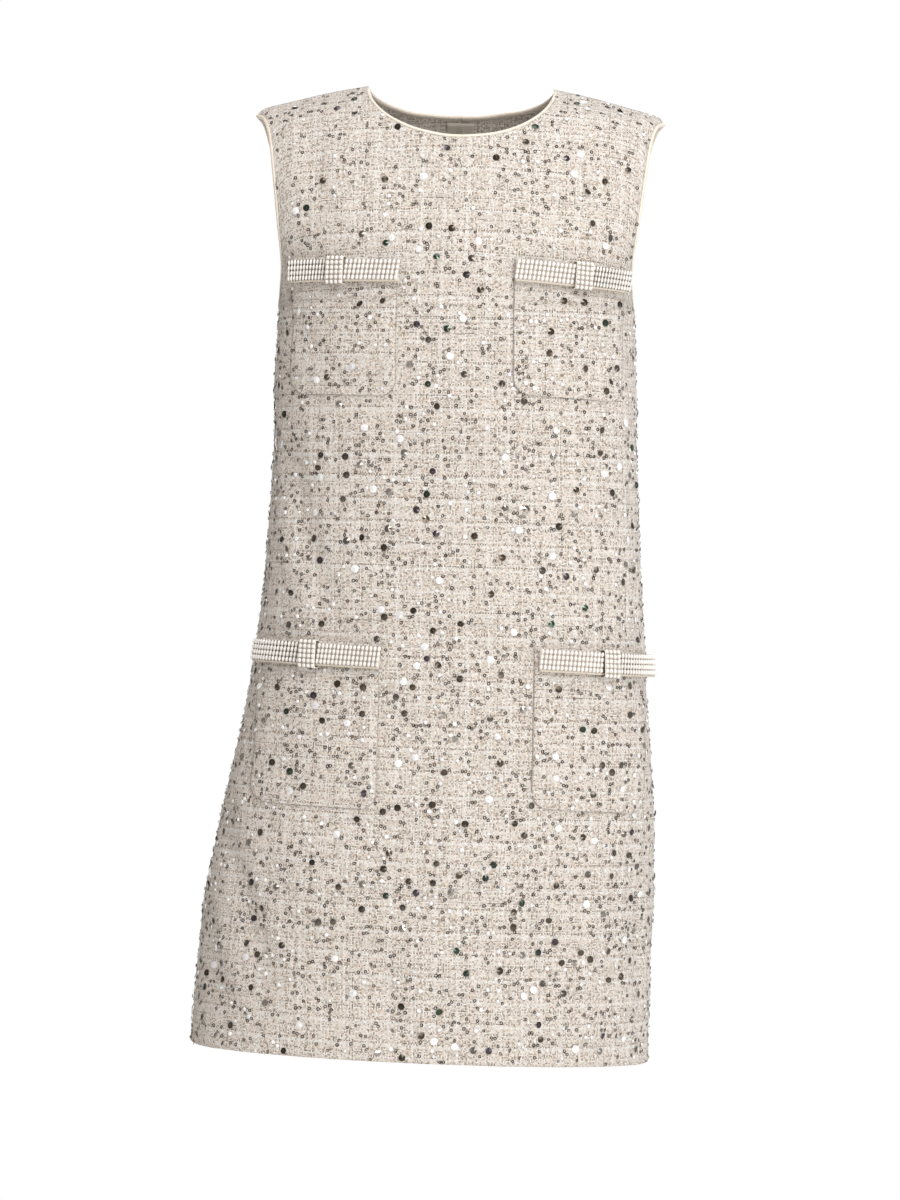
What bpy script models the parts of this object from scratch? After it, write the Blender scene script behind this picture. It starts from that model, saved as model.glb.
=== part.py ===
"""Sleeveless A-line shift dress in beaded tweed, kept in the hollow shape it has when worn.

The straight dress is worked out first: a front and a back, each a surface through a few level
sections, symmetrical about the centre front. Every finished point is then hung, that is moved to
where the worn dress has it: the skirt swings to one side, turns and tilts a little on the hips.
Lengths are in millimetres and become metres when an object is made. +Z is up, the front faces -Y,
and the origin lies midway between the shoulder seams, where the shoulders carry the dress.
"""

import math
from collections import namedtuple

import bmesh
import bpy
from mathutils import Matrix, Vector

MM = 0.001
SMOOTH_ANGLE = 40.0

# Finishes: colour, roughness and how metallic
Finish = namedtuple("Finish", "color roughness metallic")
TWEED = Finish((0.68, 0.59, 0.50), 0.9, 0.0)
SATIN = Finish((0.80, 0.69, 0.58), 0.45, 0.0)
PEARLS = Finish((0.80, 0.77, 0.74), 0.3, 0.0)
TAPE = Finish((0.76, 0.68, 0.58), 0.8, 0.0)
METAL = Finish((0.72, 0.70, 0.66), 0.3, 1.0)

# Cloth and seams
CLOTH = 2.0
SEAM_GAP = 0.3
LAID_GAP = 0.4
HEM_LEVEL = -815.0
HEM_DEPTH = 28.0
HEM_CLOTH = 3.4
HEM_FOLD = 1.0
UNDERARM = -180.0
SHOULDER = 6.0

# Sections below the armholes: half width at the side seams, depth of front and back at the middle,
# and how square the front is
Ring = namedtuple("Ring", "level half_width front_depth back_depth front_squareness")
RINGS = [
    Ring(HEM_LEVEL, 198.0, 122.5, 132, 0.95),
    Ring(-698, 193.2, 126, 130, 0.86),
    Ring(-645, 188.8, 127, 128, 0.79),
    Ring(-594, 182.6, 127, 124, 0.72),
    Ring(-530, 173.4, 126, 116, 0.67),
    Ring(-461, 165.8, 122.5, 105, 0.65),
    Ring(-375, 159.3, 118.5, 95, 0.65),
    Ring(-306, 155.9, 117, 93, 0.65),
    Ring(-250, 155.0, 116, 96, 0.65),
    Ring(UNDERARM, 152.6, 112, 100, 0.65),
]
RING_SWEEP = 90.0
BACK_SQUARENESS = 0.80

# Sections of front and back above the underarm: the point on the armhole edge, the point on the
# centre line, how many degrees of arc the section sweeps, and how square the arc is
Yoke = namedtuple("Yoke", "level edge_x edge_y edge_z middle_y middle_z sweep squareness")
FRONT_YOKE = [
    Yoke(UNDERARM, 152.6, 0, UNDERARM, -112, UNDERARM, RING_SWEEP, 0.65),
    Yoke(-177, 152.4, -16, -178.5, -111.5, -177.5, 87, 0.66),
    Yoke(-170, 150.9, -32, -171, -110.2, -171, 82, 0.68),
    Yoke(-148, 148.8, -51, -145, -107.5, -150, 72, 0.72),
    Yoke(-113, 152.2, -60, -112, -98.5, -115, 64, 0.78),
    Yoke(-70, 157.7, -52, -66, -85, -75, 59, 0.85),
    Yoke(-38, 162.2, -35, -35, -74, -40, 55, 0.90),
    Yoke(-12, 167.9, -15, -18, -52, -6, 50, 0.95),
    Yoke(SHOULDER, 174.7, 5, -13, 0, 19.2, 45, 1.0),
]
BACK_YOKE = [
    Yoke(UNDERARM, 152.6, 0, UNDERARM, 100, UNDERARM, RING_SWEEP, 0.80),
    Yoke(-177, 151.9, 15, -178.5, 100.4, -177.5, 84.6, 0.80),
    Yoke(-170, 149.3, 29, -171, 100.8, -171, 77.7, 0.80),
    Yoke(-148, 144.8, 46, -145, 101.6, -150, 69.5, 0.81),
    Yoke(-113, 148.5, 52, -113, 100, -115, 65, 0.83),
    Yoke(-70, 157.0, 46, -69, 94, -75, 62, 0.87),
    Yoke(-38, 164.0, 29, -36, 82, -40, 56, 0.92),
    Yoke(-12, 169.5, 16, -19, 58, -6, 50, 0.96),
    Yoke(SHOULDER, 174.7, 5, -13, 0, 19.2, 45, 1.0),
]

# Round neck, seen from the front: half of an ellipse
NECK_HALF_WIDTH = 81.0
FRONT_NECK_DEPTH = 47.5
BACK_NECK_DEPTH = 19.3

# Reading the surface: steps for its normal, and rounds and widths for finding a point on it
NORMAL_STEP_U = 0.01
NORMAL_STEP_LEVEL = 2.0
TOP_HALVINGS = 40
FIND_ROUNDS = 60
FIND_START_WIDTH = 200.0
FIND_STEP_WIDTH = 250.0
FIND_LIMIT = 0.999

# How the worn dress hangs: sideways shift of each level, its turn about Z, and its tilt
Stance = namedtuple("Stance", "level shift turn tilt")
STANCE = [
    Stance(-815, -35.8, 11.0, 3.1),
    Stance(-698, -28.9, 8.0, 2.6),
    Stance(-594, -18.8, 5.6, 2.2),
    Stance(-461, -9.8, 2.6, 1.9),
    Stance(-306, -5.8, -0.5, 1.3),
    Stance(-178, -4.6, -1.0, 1.2),
    Stance(-66, -2.4, 0.0, 1.2),
    Stance(20, 0.0, 0.0, 1.2),
]

# Grid of the panels
NECK_COLUMNS = 8
SHOULDER_COLUMNS = 6
YOKE_ROWS = 12
YOKE_CROWDING = 0.6
BODY_LEVELS = [
    HEM_LEVEL, HEM_LEVEL + HEM_DEPTH, HEM_LEVEL + HEM_DEPTH + HEM_FOLD,
    -745, -700, -650, -600, -555, -510, -470, -430, -390, -345, -300, -258, -218, UNDERARM,
]

# Satin binding of the neck and the armholes
BINDING_WIDTH = 2.0
BINDING_THICKNESS = 3.0
BINDING_GAP = 0.5
BINDING_SIDES = 6
NECK_CENTRE_Z = 40.0
ARMHOLE_CENTRE_X = 165.0
ARMHOLE_CENTRE_Z = -85.0

# Patch pockets on the straight front, and the bow at the top of each: distances from the centre
# front, level of the bow's middle line, level of the pocket's lower edge, and how they slope
Pocket = namedtuple(
    "Pocket",
    "place side inner outer_top outer_bottom bow_level bottom radius slope bow_start knot bow_end",
)
POCKETS = [
    Pocket("upper_right", -1, 48.5, 138.0, 138.0, -152.0, -256.5, 14, -0.8, 48.0, 98.0, 132.0),
    Pocket("upper_left", 1, 49.5, 142.0, 142.0, -152.5, -255.5, 14, -2.5, 51.0, 104.0, 138.5),
    Pocket("lower_right", -1, 65.0, 162.0, 167.5, -476.5, -603.5, 15, -1.3, 65.0, 120.5, 161.0),
    Pocket("lower_left", 1, 64.5, 162.0, 168.0, -477.0, -600.5, 15, -1.8, 69.0, 126.0, 162.0),
]
POCKET_ABOVE_BOW = 11.5
CORNER_CUTS = 3
TRIM_DISTANCE = 1e-5

# Bows: a flattened loop of ribbon covered with beads, held by a short strip round its middle
BOW_HEIGHT = 19.0
BOW_LIFT = 4.0
BOW_RIBBON = 1.9
BOW_LOOP_GAP = 1.2
BOW_STATIONS = 8
BOW_STEP = 0.02
BOW_FOLD_REACH = 0.87
BOW_FOLD_SPREAD = 0.5
KNOT_WIDTH = 16.0
KNOT_HEIGHT = 26.0
KNOT_WALL = 3.0
KNOT_BACK = 1.4
KNOT_CLEARANCE = 0.8
KNOT_CORNER = 2.5

# Concealed zip at the centre back
ZIP_BOTTOM = -510
ZIP_HALF_WIDTH = 12.0
ZIP_TAPE = 1.0
ZIP_TOP_SHARE = 0.8
ZIP_ROW_MARGIN = 1.0
SLIDER_ROW = -3
SLIDER_HALF_WIDTH = 2.3
SLIDER_HALF_LENGTH = 4.5
SLIDER_PLATE = 0.8
BRIDGE_HALF_WIDTH = 0.8
BRIDGE_HALF_LENGTH = 4.0
BRIDGE_LEG = 1.2
BRIDGE_OPENING = 1.6
BRIDGE_ROOF = 0.9
TAB_BAR = 1.0
TAB_BAR_PLACE = 1.7
TAB_THICKNESS = 0.8
TAB_HALF_WIDTH = 2.5
TAB_LENGTH = 21.0
TAB_TIP_SHARE = 0.68
TAB_SLOT_HALF_WIDTH = 1.2
TAB_SLOT_END = 6.6
TAB_SHOULDER = 9.0


# ---------------------------------------------------------------- the straight dress

def read(rows, column, level):
    """One column of a table read at any level, along a smooth curve through its rows."""
    levels = [row.level for row in rows]
    values = [getattr(row, column) for row in rows]
    last = len(rows) - 1
    level = min(max(level, levels[0]), levels[last])
    low = max(i for i in range(last) if levels[i] <= level or i == 0)

    def slope(i):
        before, after = max(i - 1, 0), min(i + 1, last)
        return (values[after] - values[before]) / (levels[after] - levels[before])

    span = levels[low + 1] - levels[low]
    t = (level - levels[low]) / span
    return (
        values[low] * (2 * t**3 - 3 * t**2 + 1)
        + values[low + 1] * (3 * t**2 - 2 * t**3)
        + slope(low) * span * (t**3 - 2 * t**2 + t)
        + slope(low + 1) * span * (t**3 - t**2)
    )


class Half:
    """The front or the back of the dress: its sections, from the hem to the shoulder seam."""

    def __init__(self, facing, depth, squareness, yoke, neck_depth):
        self.facing = facing
        self.body = [
            Yoke(ring.level, ring.half_width, 0, ring.level, facing * depth(ring),
                 ring.level, RING_SWEEP, squareness(ring))
            for ring in RINGS
        ]
        self.yoke = yoke
        self.all_rows = self.body + yoke[1:]
        self.neck_depth = neck_depth

    def point(self, u, level):
        """Outer face of the cloth: u runs from -1 at one side seam to 1 at the other."""
        edges = self.body if level <= UNDERARM else self.yoke
        edge_x, edge_y, edge_z = (read(edges, name, level) for name in ("edge_x", "edge_y", "edge_z"))
        middle_y = read(self.all_rows, "middle_y", level)
        middle_z = read(self.all_rows, "middle_z", level)
        sweep = math.radians(read(self.all_rows, "sweep", level))
        power = read(self.all_rows, "squareness", level)
        angle = u * sweep
        share = (1 - max(math.cos(angle), 0.0) ** power) / (1 - max(math.cos(sweep), 0.0) ** power)
        return Vector((
            edge_x * math.sin(angle) / math.sin(sweep),
            middle_y + (edge_y - middle_y) * share,
            middle_z + (edge_z - middle_z) * share,
        ))

    def normal(self, u, level):
        """Direction out of the cloth, level with the seam along the side and shoulder seams."""
        left, right = max(u - NORMAL_STEP_U, -1.0), min(u + NORMAL_STEP_U, 1.0)
        down, up = max(level - NORMAL_STEP_LEVEL, HEM_LEVEL), min(level + NORMAL_STEP_LEVEL, SHOULDER)
        across = self.point(right, level) - self.point(left, level)
        upward = self.point(u, up) - self.point(u, down)
        out = across.cross(upward) * -self.facing
        if abs(u) == 1.0 and level <= UNDERARM or level == SHOULDER:
            out.y = 0.0
        return out.normalized()

    def neck_height(self, x):
        """Height of the neck edge above the point x."""
        inside = max(1 - (x / NECK_HALF_WIDTH) ** 2, 0.0)
        return NECK_TOP - self.neck_depth * math.sqrt(inside)

    def top_level(self, u):
        """Level at which a column ends: on the neck edge, or on the shoulder seam."""
        if abs(u) >= NECK_COLUMN:
            return SHOULDER
        low, high = UNDERARM, SHOULDER
        for _ in range(TOP_HALVINGS):
            middle = (low + high) / 2
            point = self.point(u, middle)
            if point.z < self.neck_height(point.x):
                low = middle
            else:
                high = middle
        return low

    def find(self, x, z):
        """The column and level whose point has this x and z, seen from the front."""
        u, level = x / FIND_START_WIDTH, z
        for _ in range(FIND_ROUNDS):
            point = self.point(u, level)
            level += z - point.z
            u = max(-FIND_LIMIT, min(FIND_LIMIT, u + (x - point.x) / FIND_STEP_WIDTH))
        return u, level


def neck_column():
    """The column that meets the shoulder seam at the neck."""
    sweep = math.radians(FRONT_YOKE[-1].sweep)
    return math.asin(NECK_HALF_WIDTH / FRONT_YOKE[-1].edge_x * math.sin(sweep)) / sweep


NECK_COLUMN = neck_column()
FRONT = Half(
    -1, lambda ring: ring.front_depth, lambda ring: ring.front_squareness, FRONT_YOKE, FRONT_NECK_DEPTH
)
BACK = Half(1, lambda ring: ring.back_depth, lambda ring: BACK_SQUARENESS, BACK_YOKE, BACK_NECK_DEPTH)
NECK_TOP = FRONT.point(NECK_COLUMN, SHOULDER).z


def hang(point):
    """Moves a point of the straight dress to its place on the worn one."""
    turn = math.radians(read(STANCE, "turn", point.z))
    tilt = math.radians(read(STANCE, "tilt", point.z))
    shift = read(STANCE, "shift", point.z)
    x = point.x * math.cos(turn) - point.y * math.sin(turn)
    y = point.x * math.sin(turn) + point.y * math.cos(turn)
    return Vector((shift + x * math.cos(tilt), y, point.z - x * math.sin(tilt)))


# ---------------------------------------------------------------- making objects

def material_for(name, finish):
    """The plain material of one sub-part."""
    material = bpy.data.materials.new(name + "_finish")
    material.use_nodes = True
    shader = material.node_tree.nodes["Principled BSDF"]
    shader.inputs["Base Color"].default_value = (*finish.color, 1.0)
    shader.inputs["Roughness"].default_value = finish.roughness
    shader.inputs["Metallic"].default_value = finish.metallic
    return material


def add_object(name, mesh_builder, finish):
    """A named object from a closed bmesh in millimetres, with its faces turned outwards."""
    bmesh.ops.recalc_face_normals(mesh_builder, faces=mesh_builder.faces)
    bmesh.ops.scale(mesh_builder, vec=(MM, MM, MM), verts=mesh_builder.verts)
    bmesh.ops.triangulate(mesh_builder, faces=mesh_builder.faces)
    mesh = bpy.data.meshes.new(name)
    mesh_builder.to_mesh(mesh)
    mesh_builder.free()
    mesh.shade_smooth()
    mesh.set_sharp_from_angle(angle=math.radians(SMOOTH_ANGLE))
    mesh.materials.append(material_for(name, finish))
    item = bpy.data.objects.new(name, mesh)
    bpy.context.scene.collection.objects.link(item)
    return item


def skin(builder, grid, flat):
    """Triangles over a grid of vertices, each cell split along its shorter diagonal in flat."""
    for i in range(len(grid) - 1):
        for j in range(len(grid[i]) - 1):
            a, b, c, d = grid[i][j], grid[i][j + 1], grid[i + 1][j + 1], grid[i + 1][j]
            rising = (flat[i + 1][j + 1] - flat[i][j]).length
            falling = (flat[i + 1][j] - flat[i][j + 1]).length
            split = ((a, b, c), (a, c, d)) if rising < falling else ((a, b, d), (b, c, d))
            for corners in split:
                builder.faces.new(corners)


def rim(grid):
    """The vertices round the border of a grid, in order."""
    return (
        list(grid[0])
        + [line[-1] for line in grid[1:]]
        + list(reversed(grid[-1][:-1]))
        + [line[0] for line in reversed(grid[1:-1])]
    )


def wall(outer, inner):
    """A closed wall of cloth between two grids of points of the straight dress."""
    builder = bmesh.new()
    sides = [[[builder.verts.new(hang(p)) for p in line] for line in grid] for grid in (outer, inner)]
    skin(builder, sides[0], outer)
    skin(builder, sides[1], outer)
    outer_rim, inner_rim = rim(sides[0]), rim(sides[1])
    count = len(outer_rim)
    for i in range(count):
        j = (i + 1) % count
        builder.faces.new((outer_rim[i], outer_rim[j], inner_rim[j], inner_rim[i]))
    return builder


# ---------------------------------------------------------------- front and back panels

def half_columns():
    """Columns from the centre line to the side seam, closest together beside the neck."""
    neck = [NECK_COLUMN * math.sin(math.radians(90 * i / NECK_COLUMNS)) for i in range(NECK_COLUMNS + 1)]
    rest = [
        NECK_COLUMN + (1 - NECK_COLUMN) * i / SHOULDER_COLUMNS for i in range(1, SHOULDER_COLUMNS + 1)
    ]
    return neck + rest


def yoke_levels(top):
    """Levels from the underarm to the top of a column, closer together at both ends."""
    turn = 2 * math.pi
    shares = [i / YOKE_ROWS for i in range(YOKE_ROWS + 1)]
    eased = [share - YOKE_CROWDING * math.sin(turn * share) / turn for share in shares]
    return [UNDERARM + (top - UNDERARM) * share for share in eased]


def panel_grids(half, columns, sideways):
    """Outer and inner grids of a panel, drawn back from its seams by half the seam gap."""
    outer, inner = [], []
    for u in columns:
        at_centre = sideways if u == 0.0 else 0.0
        drawn_back = Vector((at_centre, half.facing, 0.0)) * (SEAM_GAP / 2)
        top = half.top_level(u)
        above = yoke_levels(top)[1:]
        outer_line, inner_line = [], []
        for level in BODY_LEVELS + above:
            point = half.point(u, level) + drawn_back
            thickness = HEM_CLOTH if level <= HEM_LEVEL + HEM_DEPTH else CLOTH
            outer_line.append(point)
            inner_line.append(point - half.normal(u, level) * thickness)
        outer.append(outer_line)
        inner.append(inner_line)
    return outer, inner


def panels():
    """The front, cut in one piece, and the two halves of the back."""
    half = half_columns()
    both = [-u for u in reversed(half)] + half[1:]
    grids = {
        "front_panel": panel_grids(FRONT, both, 0),
        "back_panel_left": panel_grids(BACK, half, 1),
        "back_panel_right": panel_grids(BACK, [-u for u in reversed(half)], -1),
    }
    for name, (outer, inner) in grids.items():
        add_object(name, wall(outer, inner), TWEED)
    return grids


# ---------------------------------------------------------------- bindings

def binding(name, path, closed):
    """A rounded strip along an edge: path holds the edge points, the way out and the normals."""
    builder = bmesh.new()
    rings = []
    for edge, away, normal in path:
        middle = edge - normal * (CLOTH / 2) + away * (BINDING_GAP + BINDING_WIDTH / 2)
        ring = []
        for k in range(BINDING_SIDES):
            angle = 2 * math.pi * k / BINDING_SIDES
            offset = away * (math.cos(angle) * BINDING_WIDTH / 2)
            offset += normal * (math.sin(angle) * BINDING_THICKNESS / 2)
            ring.append(builder.verts.new(hang(middle + offset)))
        rings.append(ring)
    if closed:
        rings.append(rings[0])
    for ring, following in zip(rings, rings[1:]):
        for k in range(BINDING_SIDES):
            j = (k + 1) % BINDING_SIDES
            builder.faces.new((ring[k], ring[j], following[j], following[k]))
    if not closed:
        builder.faces.new(rings[0])
        builder.faces.new(rings[-1])
    add_object(name, builder, SATIN)


def edge_path(points, normals, centre, closed):
    """Adds to each edge point the direction in the cloth that leads away from its centre."""
    count = len(points)
    path = []
    for i, (point, normal) in enumerate(zip(points, normals)):
        before = points[(i - 1) % count] if closed else points[max(i - 1, 0)]
        after = points[(i + 1) % count] if closed else points[min(i + 1, count - 1)]
        away = (after - before).cross(normal).normalized()
        if away.dot(centre - point) < 0:
            away = -away
        path.append((point, away, normal))
    return path


def neck_binding():
    """Runs from the centre back round the front to the centre back, open at the zip."""
    half = half_columns()[:NECK_COLUMNS + 1]
    around = [(BACK, u) for u in half] + [(FRONT, u) for u in reversed(half[:-1])]
    around += [(FRONT, -u) for u in half[1:]] + [(BACK, -u) for u in reversed(half[:-1])]
    points, normals = [], []
    for side, u in around:
        level = side.top_level(u)
        points.append(side.point(u, level))
        normals.append(side.normal(u, level))
    points[0].x = SEAM_GAP / 2
    points[-1].x = -SEAM_GAP / 2
    centre = Vector((0, 0, NECK_CENTRE_Z))
    binding("neck_binding", edge_path(points, normals, centre, closed=False), closed=False)


def armhole_bindings():
    """A closed ring round each armhole."""
    levels = yoke_levels(SHOULDER)
    around = [(FRONT, level) for level in levels] + [(BACK, level) for level in reversed(levels[1:-1])]
    for name, u in (("armhole_binding_left", 1.0), ("armhole_binding_right", -1.0)):
        points = [side.point(u, level) for side, level in around]
        normals = [side.normal(u, level) for side, level in around]
        centre = Vector((u * ARMHOLE_CENTRE_X, 0, ARMHOLE_CENTRE_Z))
        binding(name, edge_path(points, normals, centre, closed=True), closed=True)


# ---------------------------------------------------------------- pockets

def trim(builder, point, outward):
    """Cuts away what lies beyond a plane through the point."""
    everything = builder.verts[:] + builder.edges[:] + builder.faces[:]
    bmesh.ops.bisect_plane(
        builder, geom=everything, dist=TRIM_DISTANCE, plane_co=point, plane_no=outward, clear_outer=True
    )


def pocket(place, front_outer):
    """A patch cut from the shape of the front, with two rounded corners, lying on the front."""
    builder = bmesh.new()
    grid = [[builder.verts.new(point) for point in line] for line in front_outer]
    skin(builder, grid, front_outer)
    side = place.side
    slope = math.tan(math.radians(place.slope))
    trim(builder, Vector((side * place.inner, 0, 0)), Vector((-side, 0, 0)))
    top = place.bow_level + POCKET_ABOVE_BOW
    lean = (place.outer_bottom - place.outer_top) / (top - place.bottom)
    outer_bottom = Vector((side * place.outer_bottom, 0, place.bottom))
    trim(builder, outer_bottom, Vector((side, 0, lean)))
    middle_x = side * (place.inner + place.outer_bottom) / 2
    trim(builder, Vector((middle_x, 0, top)), Vector((-slope, 0, 1)))
    trim(builder, Vector((middle_x, 0, place.bottom)), Vector((slope, 0, -1)))
    for corner_x, direction in ((place.inner, -side), (place.outer_bottom, side)):
        centre_x = side * corner_x - direction * place.radius
        bottom = place.bottom + slope * (centre_x - middle_x)
        centre = Vector((centre_x, 0, bottom + place.radius))
        for k in range(1, CORNER_CUTS + 1):
            angle = math.radians(90 * k / (CORNER_CUTS + 1))
            outward = Vector((direction * math.cos(angle), 0, -math.sin(angle)))
            trim(builder, centre + outward * place.radius, outward)
    builder.normal_update()
    loose = [v for v in builder.verts if not v.link_faces]
    bmesh.ops.delete(builder, geom=loose, context="VERTS")
    normals = {v: v.normal * (1 if v.normal.y < 0 else -1) for v in builder.verts}
    base = {v: v.co + normals[v] * LAID_GAP for v in builder.verts}
    under = {v: builder.verts.new(hang(base[v])) for v in list(base)}
    borders = [(e.verts[0], e.verts[1]) for e in builder.edges if e.is_boundary]
    for face in list(builder.faces):
        builder.faces.new([under[v] for v in reversed(face.verts)])
    for a, b in borders:
        builder.faces.new((a, b, under[b], under[a]))
    for v, point in base.items():
        v.co = hang(point + normals[v] * CLOTH)
    add_object("pocket_" + place.place, builder, TWEED)


# ---------------------------------------------------------------- bows

def bow_point(place, share, lift):
    """A point on the middle line of the bow, lifted off the pocket, and the way out there."""
    stretch = (place.bow_start, place.knot) if share <= 0.5 else (place.knot, place.bow_end)
    x = place.side * (stretch[0] + (stretch[1] - stretch[0]) * (2 * share - (share > 0.5)))
    z = place.bow_level + math.tan(math.radians(place.slope)) * (x - place.side * place.knot)
    u, level = FRONT.find(x, z)
    out = FRONT.normal(u, level)
    return FRONT.point(u, level) + out * (2 * LAID_GAP + CLOTH + lift), out


def bow_frame(place, share, lift=0.0):
    """Point on the bow, way along it, way across it and way out at a share of its length."""
    point, out = bow_point(place, share, lift)
    before, _ = bow_point(place, max(share - BOW_STEP, 0.0), lift)
    after, _ = bow_point(place, min(share + BOW_STEP, 1.0), lift)
    along = after - before
    along = (along - out * along.dot(out)).normalized()
    up = along.cross(out) * -place.side
    return point, along, up, out


def bow_band(place):
    """The flattened loop: two layers of ribbon joined by a fold at each end."""
    thickness = 2 * BOW_RIBBON + BOW_LOOP_GAP
    base = KNOT_BACK + KNOT_CLEARANCE
    shares = [i / BOW_STATIONS for i in range(BOW_STATIONS + 1)]

    def contour(inset):
        radius = thickness / 2 - inset
        stations = []
        for share in shares:
            lift = BOW_LIFT * max(2 * share - 1, 0.0) ** 2
            stations.append(bow_frame(place, share, base + thickness / 2 + lift))
        front = [point + out * radius for point, along, up, out in stations]
        back = [point - out * radius for point, along, up, out in reversed(stations)]
        far, near = stations[-1], stations[0]
        reach, spread = radius * BOW_FOLD_REACH, radius * BOW_FOLD_SPREAD
        far_fold = [far[0] + far[1] * reach + far[3] * spread * k for k in (1, -1)]
        near_fold = [near[0] - near[1] * reach + near[3] * spread * k for k in (-1, 1)]
        ups = [s[2] for s in stations] + [far[2]] * 2
        ups += [s[2] for s in reversed(stations)] + [near[2]] * 2
        return list(zip(front + far_fold + back + near_fold, ups))

    builder = bmesh.new()
    loops = []
    for inset, half_height in ((0, 1), (0, -1), (BOW_RIBBON, -1), (BOW_RIBBON, 1)):
        loops.append([
            builder.verts.new(hang(point + up * (half_height * BOW_HEIGHT / 2)))
            for point, up in contour(inset)
        ])
    count = len(loops[0])
    for loop, following in zip(loops, loops[1:] + loops[:1]):
        for i in range(count):
            j = (i + 1) % count
            builder.faces.new((loop[i], loop[j], following[j], following[i]))
    add_object("bow_band_" + place.place, builder, PEARLS)


def bow_knot(place):
    """The strip wrapped round the middle of the bow, a closed ring across it."""
    band = 2 * BOW_RIBBON + BOW_LOOP_GAP
    hollow_low = KNOT_BACK
    hollow_high = hollow_low + band + 2 * KNOT_CLEARANCE
    top = hollow_high + KNOT_WALL
    half_hollow = KNOT_HEIGHT / 2 - KNOT_WALL
    point, along, up, out = bow_frame(place, 0.5)

    def outline(low, high, half_height, corner):
        """A rectangle with its corners cut off, across the bow."""
        middle, reach = (low + high) / 2, (high - low) / 2
        short_height, short_reach = half_height - corner, reach - corner
        quarter = [(half_height, short_reach), (short_height, reach)]
        mirrored = [(-height, over) for height, over in reversed(quarter)]
        upper = quarter + mirrored
        lower = [(height, -over) for height, over in reversed(upper)]
        return [up * height + out * (middle + over) for height, over in upper + lower]

    outer = outline(0.0, top, KNOT_HEIGHT / 2, KNOT_CORNER)
    inner = outline(hollow_low, hollow_high, half_hollow, SEAM_GAP)
    builder = bmesh.new()
    loops = []
    for ring, end in ((outer, 1), (outer, -1), (inner, -1), (inner, 1)):
        base = point + along * (end * KNOT_WIDTH / 2)
        loops.append([builder.verts.new(hang(base + offset)) for offset in ring])
    for loop, following in zip(loops, loops[1:] + loops[:1]):
        for i in range(len(loop)):
            j = (i + 1) % len(loop)
            builder.faces.new((loop[i], loop[j], following[j], following[i]))
    add_object("bow_knot_" + place.place, builder, PEARLS)


# ---------------------------------------------------------------- zip

def zip_tape(back_inner):
    """The tape of the concealed zip, lying inside the centre back seam."""
    centre, beside = back_inner[0], back_inner[1]
    rows = [i for i, point in enumerate(centre) if point.z >= ZIP_BOTTOM - ZIP_ROW_MARGIN]
    near, far = [], []
    for i in rows:
        middle = Vector((0.0, centre[i].y, centre[i].z))
        edge = centre[i].lerp(beside[i], ZIP_HALF_WIDTH / (beside[i].x - centre[i].x))
        near.append(middle)
        far.append(edge)
    near[-1] = near[-2].lerp(near[-1], ZIP_TOP_SHARE)
    far[-1] = far[-2].lerp(far[-1], ZIP_TOP_SHARE)
    mirrored = [Vector((-point.x, point.y, point.z)) for point in far]
    lines = [mirrored, near, far]
    outer, inner = [], []
    for line in lines:
        outer_line, inner_line = [], []
        for i, point in enumerate(line):
            before, after = near[max(i - 1, 0)], near[min(i + 1, len(near) - 1)]
            inward = Vector((0.0, -(after - before).z, (after - before).y)).normalized()
            outer_line.append(point + inward * SEAM_GAP)
            inner_line.append(point + inward * (SEAM_GAP + ZIP_TAPE))
        outer.append(outer_line)
        inner.append(inner_line)
    add_object("zip_tape", wall(outer, inner), TAPE)


def slider_frame():
    """Where the slider sits: a matrix with X across, Y out of the cloth and Z up along it."""
    level = yoke_levels(BACK.top_level(0.0))[SLIDER_ROW]
    point = BACK.point(0.0, level)
    origin = hang(point)
    out = (hang(point + BACK.normal(0.0, level)) - origin).normalized()
    across = hang(point + Vector((1, 0, 0))) - origin
    up = across.cross(out).normalized()
    frame = Matrix((out.cross(up), out, up)).transposed().to_4x4()
    frame.translation = origin
    return frame


def block_body(xs, ys, zs, filled):
    """One closed body made of the filled cells of a grid of planes."""
    builder = bmesh.new()
    corners = {}

    def corner(i, j, k):
        if (i, j, k) not in corners:
            corners[i, j, k] = builder.verts.new((xs[i], ys[j], zs[k]))
        return corners[i, j, k]

    sides = [
        ((-1, 0, 0), ((0, 0, 0), (0, 0, 1), (0, 1, 1), (0, 1, 0))),
        ((1, 0, 0), ((1, 0, 0), (1, 1, 0), (1, 1, 1), (1, 0, 1))),
        ((0, -1, 0), ((0, 0, 0), (1, 0, 0), (1, 0, 1), (0, 0, 1))),
        ((0, 1, 0), ((0, 1, 0), (0, 1, 1), (1, 1, 1), (1, 1, 0))),
        ((0, 0, -1), ((0, 0, 0), (0, 1, 0), (1, 1, 0), (1, 0, 0))),
        ((0, 0, 1), ((0, 0, 1), (1, 0, 1), (1, 1, 1), (0, 1, 1))),
    ]
    for i, j, k in sorted(filled):
        for (di, dj, dk), square in sides:
            if (i + di, j + dj, k + dk) not in filled:
                builder.faces.new([corner(i + a, j + b, k + c) for a, b, c in square])
    return builder


def place_object(item, frame):
    """Puts an object modelled about its own origin into a frame given in millimetres."""
    placed = frame.copy()
    placed.translation = frame.translation * MM
    item.matrix_world = placed


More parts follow.
